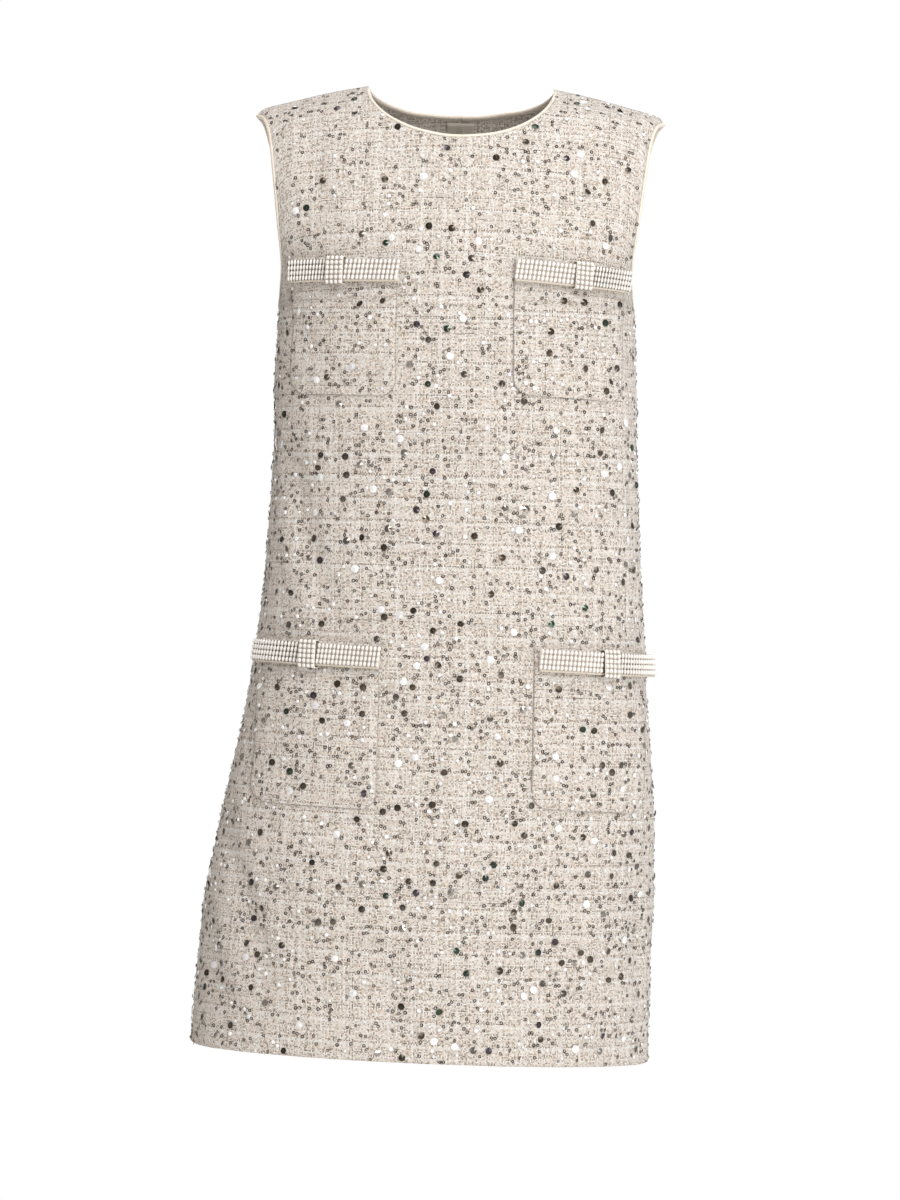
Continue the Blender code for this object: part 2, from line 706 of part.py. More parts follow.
def zip_slider(frame):
    """A flat plate over the closed seam, with a bridge along it that holds the pull tab."""
    plate_top = SEAM_GAP + SLIDER_PLATE
    roof = plate_top + BRIDGE_OPENING
    xs = [-SLIDER_HALF_WIDTH, -BRIDGE_HALF_WIDTH, BRIDGE_HALF_WIDTH, SLIDER_HALF_WIDTH]
    ys = [SEAM_GAP, plate_top, roof, roof + BRIDGE_ROOF]
    inside = BRIDGE_HALF_LENGTH - BRIDGE_LEG
    zs = [-SLIDER_HALF_LENGTH, -BRIDGE_HALF_LENGTH, -inside, inside, BRIDGE_HALF_LENGTH, SLIDER_HALF_LENGTH]
    plate = {(i, 0, k) for i in range(3) for k in range(5)}
    legs = {(1, 1, 1), (1, 1, 3)}
    bridge = {(1, 2, k) for k in (1, 2, 3)}
    slider = block_body(xs, ys, zs, plate | legs | bridge)
    place_object(add_object("zip_slider", slider, METAL), frame)


def zip_pull_tab(frame):
    """Hangs from its top bar inside the bridge; its origin is on the axis it swings about."""
    half_bar = TAB_BAR / 2
    half_thickness = TAB_THICKNESS / 2
    xs = [-TAB_HALF_WIDTH, -TAB_SLOT_HALF_WIDTH, TAB_SLOT_HALF_WIDTH, TAB_HALF_WIDTH]
    ys = [-half_thickness, half_thickness]
    zs = [-TAB_LENGTH, -TAB_SHOULDER, -TAB_SLOT_END, -half_bar, half_bar]
    whole = {(i, 0, k) for i in range(3) for k in range(4)}
    tab = block_body(xs, ys, zs, whole - {(1, 0, 2)})
    for vert in tab.verts:
        if vert.co.z == zs[0]:
            vert.co.x *= TAB_TIP_SHARE
    above_cloth = SEAM_GAP + SLIDER_PLATE + BRIDGE_OPENING / 2
    hinge = frame @ Matrix.Translation((0, above_cloth, TAB_BAR_PLACE))
    place_object(add_object("zip_pull_tab", tab, METAL), hinge)


# ---------------------------------------------------------------- the whole dress

def build():
    """Clears the scene's objects and makes every piece."""
    for item in list(bpy.data.objects):
        bpy.data.objects.remove(item, do_unlink=True)
    grids = panels()
    neck_binding()
    armhole_bindings()
    for place in POCKETS:
        pocket(place, grids["front_panel"][0])
        bow_band(place)
        bow_knot(place)
    zip_tape(grids["back_panel_left"][1])
    frame = slider_frame()
    zip_slider(frame)
    zip_pull_tab(frame)


build()
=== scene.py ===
"""A sleeveless shift dress in beaded tweed, as it hangs when worn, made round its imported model.

Tables are in millimetres, as a dressmaker measures, and become metres when a mesh is made. The
straight dress is worked out first, symmetrical about the centre front, and every finished point is
then hung: moved to where the worn dress has it. The front faces -Y and +Z is up.
"""

import math
from collections import namedtuple

import bpy
import numpy as np
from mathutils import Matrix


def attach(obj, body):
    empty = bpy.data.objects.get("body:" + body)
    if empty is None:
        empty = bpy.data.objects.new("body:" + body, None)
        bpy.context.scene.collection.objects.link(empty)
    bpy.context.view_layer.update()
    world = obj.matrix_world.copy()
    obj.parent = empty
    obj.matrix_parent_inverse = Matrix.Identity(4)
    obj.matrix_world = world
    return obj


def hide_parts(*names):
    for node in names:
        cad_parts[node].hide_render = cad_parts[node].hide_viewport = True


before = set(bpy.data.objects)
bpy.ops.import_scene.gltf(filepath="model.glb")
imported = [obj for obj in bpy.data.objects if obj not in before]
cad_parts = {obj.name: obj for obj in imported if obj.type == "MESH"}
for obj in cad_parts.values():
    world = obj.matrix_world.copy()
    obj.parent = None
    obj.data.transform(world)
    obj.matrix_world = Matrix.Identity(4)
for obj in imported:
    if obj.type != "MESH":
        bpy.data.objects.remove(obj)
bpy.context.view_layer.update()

# ---------------------------------------------------------------- the front
# The front is one piece of beaded tweed, cut from the shoulder seams to the hem without darts. It
# is sewn to the back at the sides and shoulders, and its hem is turned up 28 mm on the inside. The
# tweed is ivory and beige wool and cotton bouclé, with paler cords and thin dark threads in it.

MM = 0.001
CLOTH = 2.0
HEM_CLOTH = 3.4
HEM_LEVEL = -815.0
HEM_DEPTH = 28.0
UNDERARM = -180.0
SHOULDER = 6.0
# The front and the back each stand this far off the line between them
SEAM_GAP = 0.05

# Sections below the armholes: level, half width at the side seams, depth of the front and of the
# back at the middle, and how square the front is
RINGS = [
    (HEM_LEVEL, 198.0, 122.5, 132, 0.95),
    (-698, 193.2, 126, 130, 0.86),
    (-645, 188.8, 127, 128, 0.79),
    (-594, 182.6, 127, 124, 0.72),
    (-530, 173.4, 126, 116, 0.67),
    (-461, 165.8, 122.5, 105, 0.65),
    (-375, 159.3, 118.5, 95, 0.65),
    (-306, 155.9, 117, 93, 0.65),
    (-250, 155.0, 116, 96, 0.65),
    (UNDERARM, 152.6, 112, 100, 0.65),
]
RING_SWEEP = 90.0
BACK_SQUARENESS = 0.80

# Sections above the underarm: the armhole edge, the centre line, degrees of arc, how square it is
Yoke = namedtuple("Yoke", "level edge_x edge_y edge_z middle_y middle_z sweep squareness")
FRONT_YOKE = [
    (-177, 152.4, -16, -178.5, -111.5, -177.5, 87, 0.66),
    (-170, 150.9, -32, -171, -110.2, -171, 82, 0.68),
    (-148, 148.8, -51, -145, -107.5, -150, 72, 0.72),
    (-113, 152.2, -60, -112, -98.5, -115, 64, 0.78),
    (-70, 157.7, -52, -66, -85, -75, 59, 0.85),
    (-38, 162.2, -35, -35, -74, -40, 55, 0.90),
    (-12, 167.9, -15, -18, -52, -6, 50, 0.95),
]
SHOULDER_SEAM = Yoke(SHOULDER, 174.7, 5, -13, 0, 19.2, 45, 1.0)
FRONT_NECK_DEPTH = 47.5
NECK_HALF_WIDTH = 81.0

# How the worn dress hangs: sideways shift of each level, its turn about Z, and its tilt
Stance = namedtuple("Stance", "level shift turn tilt")
STANCE = [
    Stance(-815, -35.8, 11.0, 3.1),
    Stance(-698, -28.9, 8.0, 2.6),
    Stance(-594, -18.8, 5.6, 2.2),
    Stance(-461, -9.8, 2.6, 1.9),
    Stance(-306, -5.8, -0.5, 1.3),
    Stance(-178, -4.6, -1.0, 1.2),
    Stance(-66, -2.4, 0.0, 1.2),
    Stance(20, 0.0, 0.0, 1.2),
]

# Soft folds of the front: height (a trough is below 0), half its width, and the three points on the
# straight front that its line runs through
FRONT_FOLDS = [
    (-3.6, 20, (-142, -292), (-122, -385), (-99, -468)),
    (1.8, 17, (-150, -340), (-142, -392), (-127, -462)),
    (-3.8, 21, (-186, -626), (-163, -699), (-143, -768)),
    (1.6, 16, (-188, -690), (-177, -735), (-164, -786)),
    (-2.6, 20, (-52, -715), (-51, -768), (-49, -822)),
    (1.5, 18, (-24, -700), (-22, -760), (-26, -822)),
    (-2.6, 24, (66, -640), (78, -730), (84, -826)),
    (1.8, 20, (118, -660), (124, -745), (129, -826)),
    (-2.6, 20, (157, -622), (170, -700), (176, -790)),
    (-2.4, 19, (-134, -22), (-122, -66), (-116, -122)),
    (-1.6, 17, (136, -40), (127, -78), (124, -118)),
    (-1.8, 17, (-143, -192), (-120, -214), (-88, -246)),
    (-1.7, 15, (146, -188), (126, -214), (104, -238)),
    (-1.7, 22, (60, -268), (84, -330), (124, -398)),
    (-1.5, 20, (30, -505), (20, -560), (26, -640)),
]

# The cloth stands up a little before it turns down over the end of the shoulder
TIP_REACH = 137.0
TIP_RISE = 3.4

# Slight waves all over: length, direction in radians from across, height
WAVES = [(47, 0.4, 0.25), (71, 1.7, 0.35), (29, 2.6, 0.12), (93, 0.9, 0.4)]
NUBS = 0.13

# The grid that distances in the cloth are measured on, and the level where columns are set apart
COLUMN_STEPS = 200
LEVEL_STEPS = 239
HIP_LEVEL = -400.0


def read(rows, column, level):
    """One column of a table read at any levels, along a smooth curve through its rows."""
    levels = np.array([row.level for row in rows], float)
    values = np.array([getattr(row, column) for row in rows], float)
    level_ends = np.concatenate((levels[:1], levels, levels[-1:]))
    value_ends = np.concatenate((values[:1], values, values[-1:]))
    slopes = (value_ends[2:] - value_ends[:-2]) / (level_ends[2:] - level_ends[:-2])
    level = np.clip(level, levels[0], levels[-1])
    low = np.clip(np.searchsorted(levels, level, side="right") - 1, 0, len(levels) - 2)
    span = levels[low + 1] - levels[low]
    t = (level - levels[low]) / span
    return (
        values[low] * (2 * t**3 - 3 * t**2 + 1)
        + values[low + 1] * (3 * t**2 - 2 * t**3)
        + slopes[low] * span * (t**3 - 2 * t**2 + t)
        + slopes[low + 1] * span * (t**3 - t**2)
    )


def unit(vectors):
    return vectors / np.maximum(np.linalg.norm(vectors, axis=-1, keepdims=True), 1e-9)


def run_length(points, axis=0):
    """Distance from the first point to each point of a line, or of every line of a grid."""
    steps = np.linalg.norm(np.diff(points, axis=axis), axis=-1)
    return np.insert(np.cumsum(steps, axis=axis), 0, 0, axis=axis)


class Half:
    """The front or the back of the straight dress, from the hem to the shoulder seam."""

    def __init__(self, facing, rings, yoke, neck_depth, folds):
        self.facing, self.neck_depth = facing, neck_depth
        self.body = [
            Yoke(level, width, 0, level, facing * depth, level, RING_SWEEP, squareness)
            for level, width, depth, squareness in rings
        ]
        self.yoke = self.body[-1:] + [Yoke(*row) for row in yoke] + [SHOULDER_SEAM]
        self.rows = self.body + self.yoke[1:]
        level = np.linspace(HEM_LEVEL, SHOULDER, LEVEL_STEPS + 1)
        grid = self.point(np.linspace(-1, 1, COLUMN_STEPS + 1)[:, None], level[None])
        across, up = run_length(grid), run_length(grid, 1)
        underarm = int((UNDERARM - HEM_LEVEL) / (SHOULDER - HEM_LEVEL) * LEVEL_STEPS)
        self.across = across - across[COLUMN_STEPS // 2]
        self.up = up - up[:, [underarm]] + level[underarm]
        t = np.linspace(0, 1, 90)
        self.fold_fade = np.sin(np.pi * t) ** 0.8
        self.folds = []
        for height, width, *points in folds:
            first, middle, last = np.array(points)[..., None]
            line = first * (1 - t) * (1 - 2 * t) + middle * 4 * t * (1 - t) + last * t * (2 * t - 1)
            self.folds.append((height, width, self.point(*self.find(*line))))

    def weave_place(self, u, level):
        """Distances in the cloth: across from its centre line, and up its columns."""
        i = (u + 1) / 2 * COLUMN_STEPS
        j = (level - HEM_LEVEL) / (SHOULDER - HEM_LEVEL) * LEVEL_STEPS
        i0 = np.clip(i.astype(int), 0, COLUMN_STEPS - 1)
        j0 = np.clip(j.astype(int), 0, LEVEL_STEPS - 1)
        s, t = i - i0, j - j0
        return [
            (table[i0, j0] * (1 - s) + table[i0 + 1, j0] * s) * (1 - t)
            + (table[i0, j0 + 1] * (1 - s) + table[i0 + 1, j0 + 1] * s) * t
            for table in (self.across, self.up)
        ]

    def point(self, u, level):
        """Outer face of the cloth: u runs from -1 at one side seam to 1 at the other."""
        u, level = np.broadcast_arrays(np.asarray(u, float), np.asarray(level, float))
        below = level <= UNDERARM
        edge_x, edge_y, edge_z = (
            np.where(below, read(self.body, name, level), read(self.yoke, name, level))
            for name in ("edge_x", "edge_y", "edge_z")
        )
        middle_y, middle_z, sweep, power = (
            read(self.rows, name, level) for name in ("middle_y", "middle_z", "sweep", "squareness")
        )
        sweep = np.radians(sweep)
        angle = u * sweep
        share = 1 - np.maximum(np.cos(angle), 0) ** power
        share = share / (1 - np.maximum(np.cos(sweep), 0) ** power)
        return np.stack((
            edge_x * np.sin(angle) / np.sin(sweep),
            middle_y + (edge_y - middle_y) * share,
            middle_z + (edge_z - middle_z) * share,
        ), axis=-1)

    def normal(self, u, level):
        """Direction out of the cloth, square to the seam along the side and shoulder seams."""
        u, level = np.broadcast_arrays(np.asarray(u, float), np.asarray(level, float))
        across = self.point(np.minimum(u + 0.01, 1), level)
        across = across - self.point(np.maximum(u - 0.01, -1), level)
        upward = self.point(u, np.minimum(level + 2, SHOULDER))
        upward = upward - self.point(u, np.maximum(level - 2, HEM_LEVEL))
        out = np.cross(across, upward) * -self.facing
        on_seam = (np.abs(u) == 1) & (level <= UNDERARM) | (level >= SHOULDER - 1e-6)
        out[..., 1] = np.where(on_seam, 0, out[..., 1])
        return unit(out)

    def top_level(self, u):
        """Level at which a column ends: on the neck edge, or on the shoulder seam."""
        low = np.full(np.shape(u), UNDERARM)
        high = np.full(np.shape(u), SHOULDER)
        for _ in range(40):
            middle = (low + high) / 2
            point = self.point(u, middle)
            inside = np.maximum(1 - (point[..., 0] / NECK_HALF_WIDTH) ** 2, 0)
            under = point[..., 2] < NECK_TOP - self.neck_depth * np.sqrt(inside)
            low, high = np.where(under, middle, low), np.where(under, high, middle)
        return np.where(np.abs(u) >= NECK_COLUMN - 1e-9, SHOULDER, low)

    def find(self, x, z):
        """The column and level whose point has this x and z, seen from the front."""
        u, level = x / 200.0, np.array(z, float)
        for _ in range(60):
            point = self.point(u, level)
            level = level + z - point[..., 2]
            u = np.clip(u + (x - point[..., 0]) / 250.0, -0.999, 0.999)
        return u, level

    def relief(self, points, u, level):
        """How far folds and waves lift the cloth off its plain shape, fading out at its seams."""
        across, up = self.weave_place(u, level)
        raised = np.zeros(points.shape[:-1])
        for wave, turn, size in WAVES:
            along = across * math.cos(turn) + up * math.sin(turn)
            raised += size * np.sin(2 * np.pi * along / wave + turn * 5 + self.facing)
        for height, width, line in self.folds:
            near = np.all((points > line.min(0) - width) & (points < line.max(0) + width), axis=-1)
            if near.any():
                apart = np.linalg.norm(points[near][:, None, :] - line[None], axis=-1)
                fade = self.fold_fade[apart.argmin(1)]
                aside = np.minimum(apart.min(1) / width, 1)
                raised[near] += height * fade * (1 + np.cos(np.pi * aside)) / 2
        side = np.clip((1 - np.abs(u)) / 0.06, 0, 1)
        top = np.clip((SHOULDER - level) / 14, 0, 1)
        return raised * side**2 * (3 - 2 * side) * top

    def lifted(self, u, level, height=0.0):
        """Points above the cloth's outer face, on the straight dress, and the way out there."""
        u, level = np.broadcast_arrays(np.asarray(u, float), np.asarray(level, float))
        points, out = self.point(u, level), self.normal(u, level)
        points = points + out * (self.relief(points, u, level) + height)[..., None]
        in_from_tip = (1 - np.abs(u)) * TIP_REACH
        rise = TIP_RISE * (1 - np.exp(-in_from_tip / 2.2)) * np.exp(-(in_from_tip / 22) ** 2)
        points[..., 2] += rise * np.exp(-(((SHOULDER - level) / 20) ** 2))
        return points, out


def hang(points):
    """Moves points of the straight dress to their places on the worn one."""
    x, y, z = points[..., 0], points[..., 1], points[..., 2]
    turn, tilt = np.radians(read(STANCE, "turn", z)), np.radians(read(STANCE, "tilt", z))
    turned_x = x * np.cos(turn) - y * np.sin(turn)
    turned_y = x * np.sin(turn) + y * np.cos(turn)
    shift = read(STANCE, "shift", z)
    return np.stack(
        (shift + turned_x * np.cos(tilt), turned_y, z - turned_x * np.sin(tilt)), axis=-1
    )


SHOULDER_SWEEP = math.radians(SHOULDER_SEAM.sweep)
NECK_COLUMN = math.asin(NECK_HALF_WIDTH / SHOULDER_SEAM.edge_x * math.sin(SHOULDER_SWEEP))
NECK_COLUMN /= SHOULDER_SWEEP
FRONT = Half(
    -1, [(level, width, depth, square) for level, width, depth, _, square in RINGS],
    FRONT_YOKE, FRONT_NECK_DEPTH, FRONT_FOLDS,
)
NECK_TOP = float(FRONT.point(NECK_COLUMN, SHOULDER)[2])


def half_columns(half):
    """Columns from the centre to the side seam, 3 mm apart at the hips, closer by the neck."""
    t = np.linspace(0, 1, 31)
    neck = NECK_COLUMN * (0.4 * t + 0.6 * np.sin(np.pi * t / 2))
    fine = np.linspace(NECK_COLUMN, 1, 400)
    length = run_length(half.point(fine, HIP_LEVEL))
    steps = np.concatenate((np.linspace(0, length[-1], 59)[1:], length[-1] - np.array((1.7, 0.7))))
    return np.concatenate((neck, np.interp(np.sort(steps), length, fine)))


HEM_LEVELS = [-815, -814.5, -813.6, -812, -809, -806, -803, -800, -797, -794, -791, -789, -787,
              -786.4, -785, -782.5]
BODY_LEVELS = np.concatenate((HEM_LEVELS, np.linspace(-780, UNDERARM, 201)))
YOKE_ROWS = 64
EDGE_ROUND = {-815: 1.3, -814.5: 0.6, -813.6: 0.15}

Cloth = namedtuple("Cloth", "outer inner straight uv")


def cut_cloth(half, columns, seed):
    """The grids of a panel: its outer face, its inner face, its straight places and its weave."""
    top = half.top_level(columns) - UNDERARM
    share = np.arange(1, YOKE_ROWS + 1) / YOKE_ROWS
    share = share - 0.5 * np.sin(2 * np.pi * share) / (2 * np.pi)
    full = SHOULDER - UNDERARM
    levels = np.concatenate((
        np.broadcast_to(BODY_LEVELS, (len(columns), len(BODY_LEVELS))),
        UNDERARM + full * share[None] - (full - top)[:, None] * share[None] ** 3,
    ), axis=1)
    u = np.broadcast_to(columns[:, None], levels.shape)
    plain = half.point(u, levels)
    points, out = half.lifted(u, levels)
    points[..., 1] += half.facing * SEAM_GAP
    across, up = half.weave_place(u, levels)

    # an uneven, nubby face, smooth at the seams and along the bound edges
    rng = np.random.default_rng(seed)
    nubs = rng.normal(0, NUBS, levels.shape) * np.clip(np.gradient(across, axis=0) / 3, 0, 1)
    nubs *= np.clip((1 - np.abs(u)) / 0.02, 0, 1)
    rows = levels.shape[1]
    nubs *= np.clip((rows - 1 - np.arange(rows)) / 4, 0, 1)[None]

    thickness = np.where(levels <= HEM_LEVEL + HEM_DEPTH + 0.01, HEM_CLOTH, CLOTH)
    rounded = np.zeros_like(levels)
    for level, drop in EDGE_ROUND.items():
        rounded[levels == level] = drop
    outer = points + out * (nubs - rounded)[..., None]
    inner = points + out * (rounded - thickness)[..., None]
    uv = np.stack((across, up), axis=-1) * MM
    return Cloth(hang(outer), hang(inner)[::2, ::2], plain[..., (0, 2)], uv)


def new_piece(name, vertices, faces, material, uv=None):
    """A smooth-shaded object from points in millimetres, with the weave's map if it has one."""
    mesh = bpy.data.meshes.new(name)
    mesh.from_pydata((np.asarray(vertices) * MM).tolist(), [], faces)
    if uv is not None:
        corners = np.zeros(len(mesh.loops), np.int32)
        mesh.loops.foreach_get("vertex_index", corners)
        layer = mesh.uv_layers.new(name="Cloth")
        layer.data.foreach_set("uv", np.asarray(uv, np.float32)[corners].ravel())
    mesh.shade_smooth()
    mesh.materials.append(material)
    piece = bpy.data.objects.new(name, mesh)
    bpy.context.scene.collection.objects.link(piece)
    return piece


def grid_faces(index, flip):
    """Squares over a grid of vertex numbers, turned round if flip is true."""
    a, b, c, d = index[:-1, :-1], index[1:, :-1], index[1:, 1:], index[:-1, 1:]
    squares = np.stack((a, d, c, b) if flip else (a, b, c, d), axis=-1)
    return squares.reshape(-1, 4).tolist()


def border(index):
    """The vertex numbers round the border of a grid, in order."""
    return np.concatenate((index[:, 0], index[-1, 1:], index[-2::-1, -1], index[0, -2:0:-1]))


def sew_shell(name, cloth, material, flip, step=2):
    """A closed sheet of cloth between its outer grid and its coarser inner grid."""
    count = cloth.outer.shape[0] * cloth.outer.shape[1]
    outer = np.arange(count).reshape(cloth.outer.shape[:2])
    inner = count + np.arange(cloth.inner.shape[0] * cloth.inner.shape[1])
    inner = inner.reshape(cloth.inner.shape[:2])
    faces = grid_faces(outer, flip) + grid_faces(inner, not flip)
    outside, inside = border(outer).tolist(), border(inner).tolist()
    outside, inside = outside + outside[:1], inside + inside[:1]
    for k in range(len(inside) - 1):
        rim = outside[step * k:step * (k + 1) + 1][::-1] + [inside[k], inside[k + 1]]
        faces.append(rim[::-1] if flip else rim)
    vertices = np.concatenate((cloth.outer.reshape(-1, 3), cloth.inner.reshape(-1, 3)))
    uv = np.concatenate((cloth.uv.reshape(-1, 2), cloth.uv[::step, ::step].reshape(-1, 2)))
    return new_piece(name, vertices, faces, material, uv)


def wear(piece, node=None):
    """Fixes a piece to the dress and lets it stand for its plain node."""
    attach(piece, "dress")
    if node:
        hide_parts(node)


class Nodes:
    """The shader nodes of a material or of the sky."""

    def __init__(self, tree):
        self.tree = tree

    def feed(self, socket, value):
        """Sets an input to a value, or links it to the socket that is given."""
        if isinstance(value, bpy.types.NodeSocket):
            self.tree.links.new(value, socket)
        else:
            socket.default_value = value

    def add(self, kind, inputs=None, **settings):
        """The outputs of a new node."""
        node = self.tree.nodes.new("ShaderNode" + kind)
        for key, value in settings.items():
            setattr(node, key, value)
        for key, value in (inputs or {}).items():
            self.feed(node.inputs[key], value)
        return node.outputs

    def math(self, operation, *values):
        return self.add("Math", dict(enumerate(values)), operation=operation)[0]

    def vector(self, operation, first, second):
        """Two vectors combined, or a vector scaled by a number."""
        inputs = {0: first, "Scale" if operation == "SCALE" else 1: second}
        return self.add("VectorMath", inputs, operation=operation)[0]

    def noise(self, place, scale, detail, **inputs):
        return self.add("TexNoise", {"Vector": place, "Scale": scale, "Detail": detail, **inputs})

    def remap(self, value, *limits, **settings):
        """A value carried from one range to another."""
        return self.add("MapRange", {0: value, **dict(enumerate(limits, 1))}, **settings)[0]

    def steps(self, factor, colors, interpolation="LINEAR"):
        """Colours along a factor, given as (position, (red, green, blue))."""
        ramp = self.tree.nodes.new("ShaderNodeValToRGB")
        self.feed(ramp.inputs[0], factor)
        ramp.color_ramp.interpolation = interpolation
        while len(ramp.color_ramp.elements) < len(colors):
            ramp.color_ramp.elements.new(0.5)
        for element, (position, color) in zip(ramp.color_ramp.elements, colors):
            element.position = position
            element.color = (*color, 1)
        return ramp.outputs[0]

    def blend(self, factor, first, second, blend_type="MIX"):
        """Two colours mixed by a factor."""
        inputs = {0: factor, 6: first, 7: second}
        return self.add("Mix", inputs, data_type="RGBA", blend_type=blend_type)[2]

    def bump(self, height, depth, strength=1.0):
        return self.add("Bump", {"Height": height, "Distance": depth, "Strength": strength})[0]


class Finish(Nodes):
    """A Principled material, with the nodes that feed its shader."""

    def __init__(self, name, **inputs):
        self.material = bpy.data.materials.new(name)
        self.material.use_nodes = True
        super().__init__(self.material.node_tree)
        self.made(**inputs)

    def made(self, **inputs):
        """The material, once these inputs of its shader are set or linked."""
        for key, value in inputs.items():
            self.feed(self.tree.nodes["Principled BSDF"].inputs[key.replace("_", " ")], value)
        return self.material


YARN = 0.00112
WARP_COLORS = [
    (0.00, (0.30, 0.25, 0.20)), (0.16, (0.59, 0.51, 0.44)), (0.40, (0.82, 0.73, 0.64)),
    (0.62, (0.92, 0.84, 0.76)), (0.84, (0.97, 0.92, 0.86)), (1.00, (0.99, 0.97, 0.94)),
]
WEFT_COLORS = [
    (0.00, (0.27, 0.22, 0.18)), (0.18, (0.60, 0.51, 0.44)), (0.42, (0.83, 0.73, 0.64)),
    (0.66, (0.92, 0.83, 0.75)), (0.88, (0.97, 0.92, 0.86)), (1.00, (0.99, 0.97, 0.94)),
]
# The check: every so many yarns, how many, from which, and how much lighter or darker they are
WARP_CHECK = [(17.0, 1.0, 4.0, -0.30), (17.0, 2.0, 11.0, 0.62), (9.0, 1.0, 1.0, 0.34)]
WEFT_CHECK = [
    (17.0, 1.0, 0.0, -0.52), (17.0, 1.0, 8.0, -0.28), (17.0, 2.0, 3.0, 0.54), (9.0, 1.0, 5.0, 0.30),
]
FLECKS = [
    (0.30, (0.97, 1.00, 0.97)), (0.42, (1.0, 1.0, 1.0)), (0.56, (1.0, 1.0, 1.0)),
    (0.64, (1.0, 0.95, 0.93)), (0.74, (1.0, 0.98, 0.88)),
]


def tweed_material(name):
    """Plain weave of uneven bouclé yarns with paler cords both ways and broken dark threads."""
    look = Finish(
        name, Roughness=0.88, Sheen_Weight=0.25, Sheen_Roughness=0.5, Specular_IOR_Level=0.25
    )
    calc = look.math
    uv = look.add("UVMap", uv_map="Cloth")[0]
    waver = look.vector("SUBTRACT", look.noise(uv, 230.0, 2.0)["Color"], (0.5, 0.5, 0.5))
    place = look.vector("ADD", uv, look.vector("SCALE", waver, 0.0011))
    place = look.vector("SCALE", place, 1 / YARN)
    parts = look.add("SeparateXYZ", {0: place})
    warp, weft = calc("FLOOR", parts[0]), calc("FLOOR", parts[1])
    in_warp, in_weft = calc("FRACT", parts[0]), calc("FRACT", parts[1])
    warp_on_top = calc("FLOORED_MODULO", calc("ADD", warp, weft), 2.0)

    def yarn_tone(number, offset):
        shifted = calc("ADD", number, offset)
        return look.add("TexWhiteNoise", {"W": shifted}, noise_dimensions="1D")["Value"]

    def every(number, count, width, offset):
        """1 on the first width yarns of every count, 0 on the rest."""
        turn = calc("FLOORED_MODULO", calc("ADD", number, offset), count)
        return calc("LESS_THAN", turn, width)

    def stretched(x, y, seed):
        inputs = {"Vector": look.vector("MULTIPLY", place, (x, y, 1.0)), "W": seed}
        inputs.update({"Scale": 1.0, "Detail": 1.5})
        return look.add("TexNoise", inputs, noise_dimensions="4D")["Fac"]

    def nub(seed):
        """A tone of its own for each place where two yarns cross."""
        crossing = look.add("CombineXYZ", {0: warp, 1: weft, 2: seed})[0]
        return look.add("TexWhiteNoise", {0: crossing})["Value"]

    colors = []
    for number, slubs, yarn_seed, nub_seed, check, steps in (
        (warp, stretched(0.9, 0.16, 1.3), 3.5, 1.5, WARP_CHECK, WARP_COLORS),
        (weft, stretched(0.16, 0.9, 7.7), 91.5, 8.5, WEFT_CHECK, WEFT_COLORS),
    ):
        tone = calc("MULTIPLY_ADD", slubs, 0.5, -0.25)
        tone = calc("ADD", calc("MULTIPLY_ADD", yarn_tone(number, yarn_seed), 0.24, 0.34), tone)
        tone = calc("MULTIPLY_ADD", nub(nub_seed), 0.94, calc("ADD", tone, -0.42))
        for count, width, offset, change in check:
            tone = calc("MULTIPLY_ADD", every(number, count, width, offset), change, tone)
        colors.append(look.steps(tone, steps))
    color = look.blend(warp_on_top, colors[1], colors[0])
    color = look.blend(1.0, color, look.steps(stretched(0.21, 0.27, 5.2), FLECKS), "MULTIPLY")

    # thin dark threads run across in broken stretches
    dark_row = calc("GREATER_THAN", yarn_tone(weft, 417.5), 0.945)
    dash = calc("GREATER_THAN", stretched(0.34, 1.0, 3.1), 0.53)
    dark = calc("MULTIPLY", calc("MULTIPLY", dark_row, dash), calc("LESS_THAN", in_weft, 0.55))
    color = look.blend(calc("MULTIPLY", dark, 0.62), color, (0.16, 0.15, 0.14, 1))

    # each yarn is round, dips under the next one, and is fuzzy
    def hump(part, sharp):
        centred = calc("MULTIPLY_ADD", part, 2.0, -1.0)
        return calc("MULTIPLY_ADD", calc("MULTIPLY", centred, centred), -sharp, 1.0)

    warp_hump = calc("MULTIPLY", hump(in_warp, 1.0), hump(in_weft, 0.55))
    weft_hump = calc("MULTIPLY", hump(in_warp, 0.55), hump(in_weft, 1.0))
    height = look.add("Mix", {0: warp_on_top, 2: weft_hump, 3: warp_hump})[0]
    fuzz = look.noise(uv, 1500.0, 2.5, Roughness=0.6)["Fac"]
    rough = calc("MULTIPLY_ADD", fuzz, 0.9, height)
    rough = calc("MULTIPLY_ADD", look.noise(uv, 420.0, 1.0)["Fac"], 1.6, rough)
    # The colour is darkened where this height is low: painted shade between the yarns where they
    # dip, and a random mottle of tone.
    color = look.blend(1.0, color, look.remap(rough, 0.9, 1.9, 0.55, 1.0), "MULTIPLY")

    # painted shade: the cloth is darkened along a pocket's sewn-down border, where its raised edge
    # would shade the front
    sewn = look.add("Attribute", attribute_name="Sewn")["Fac"]
    color = look.blend(calc("MULTIPLY", sewn, 0.6), color, (0.22, 0.18, 0.15, 1))
    return look.made(Base_Color=color, Normal=look.bump(rough, 0.00045))


tweed = tweed_material("beaded_tweed")
right_columns = half_columns(FRONT)
front_cloth = cut_cloth(FRONT, np.concatenate((-right_columns[:0:-1], right_columns)), 11)
front = sew_shell("front_of_tweed", front_cloth, tweed, False)
wear(front, "front_panel")

# ---------------------------------------------------------------- the back
# The back is cut in two halves of the same tweed, sewn together down the centre back, where the
# seam holds the zip. The worn cloth falls in a few soft folds from the small of the back down.

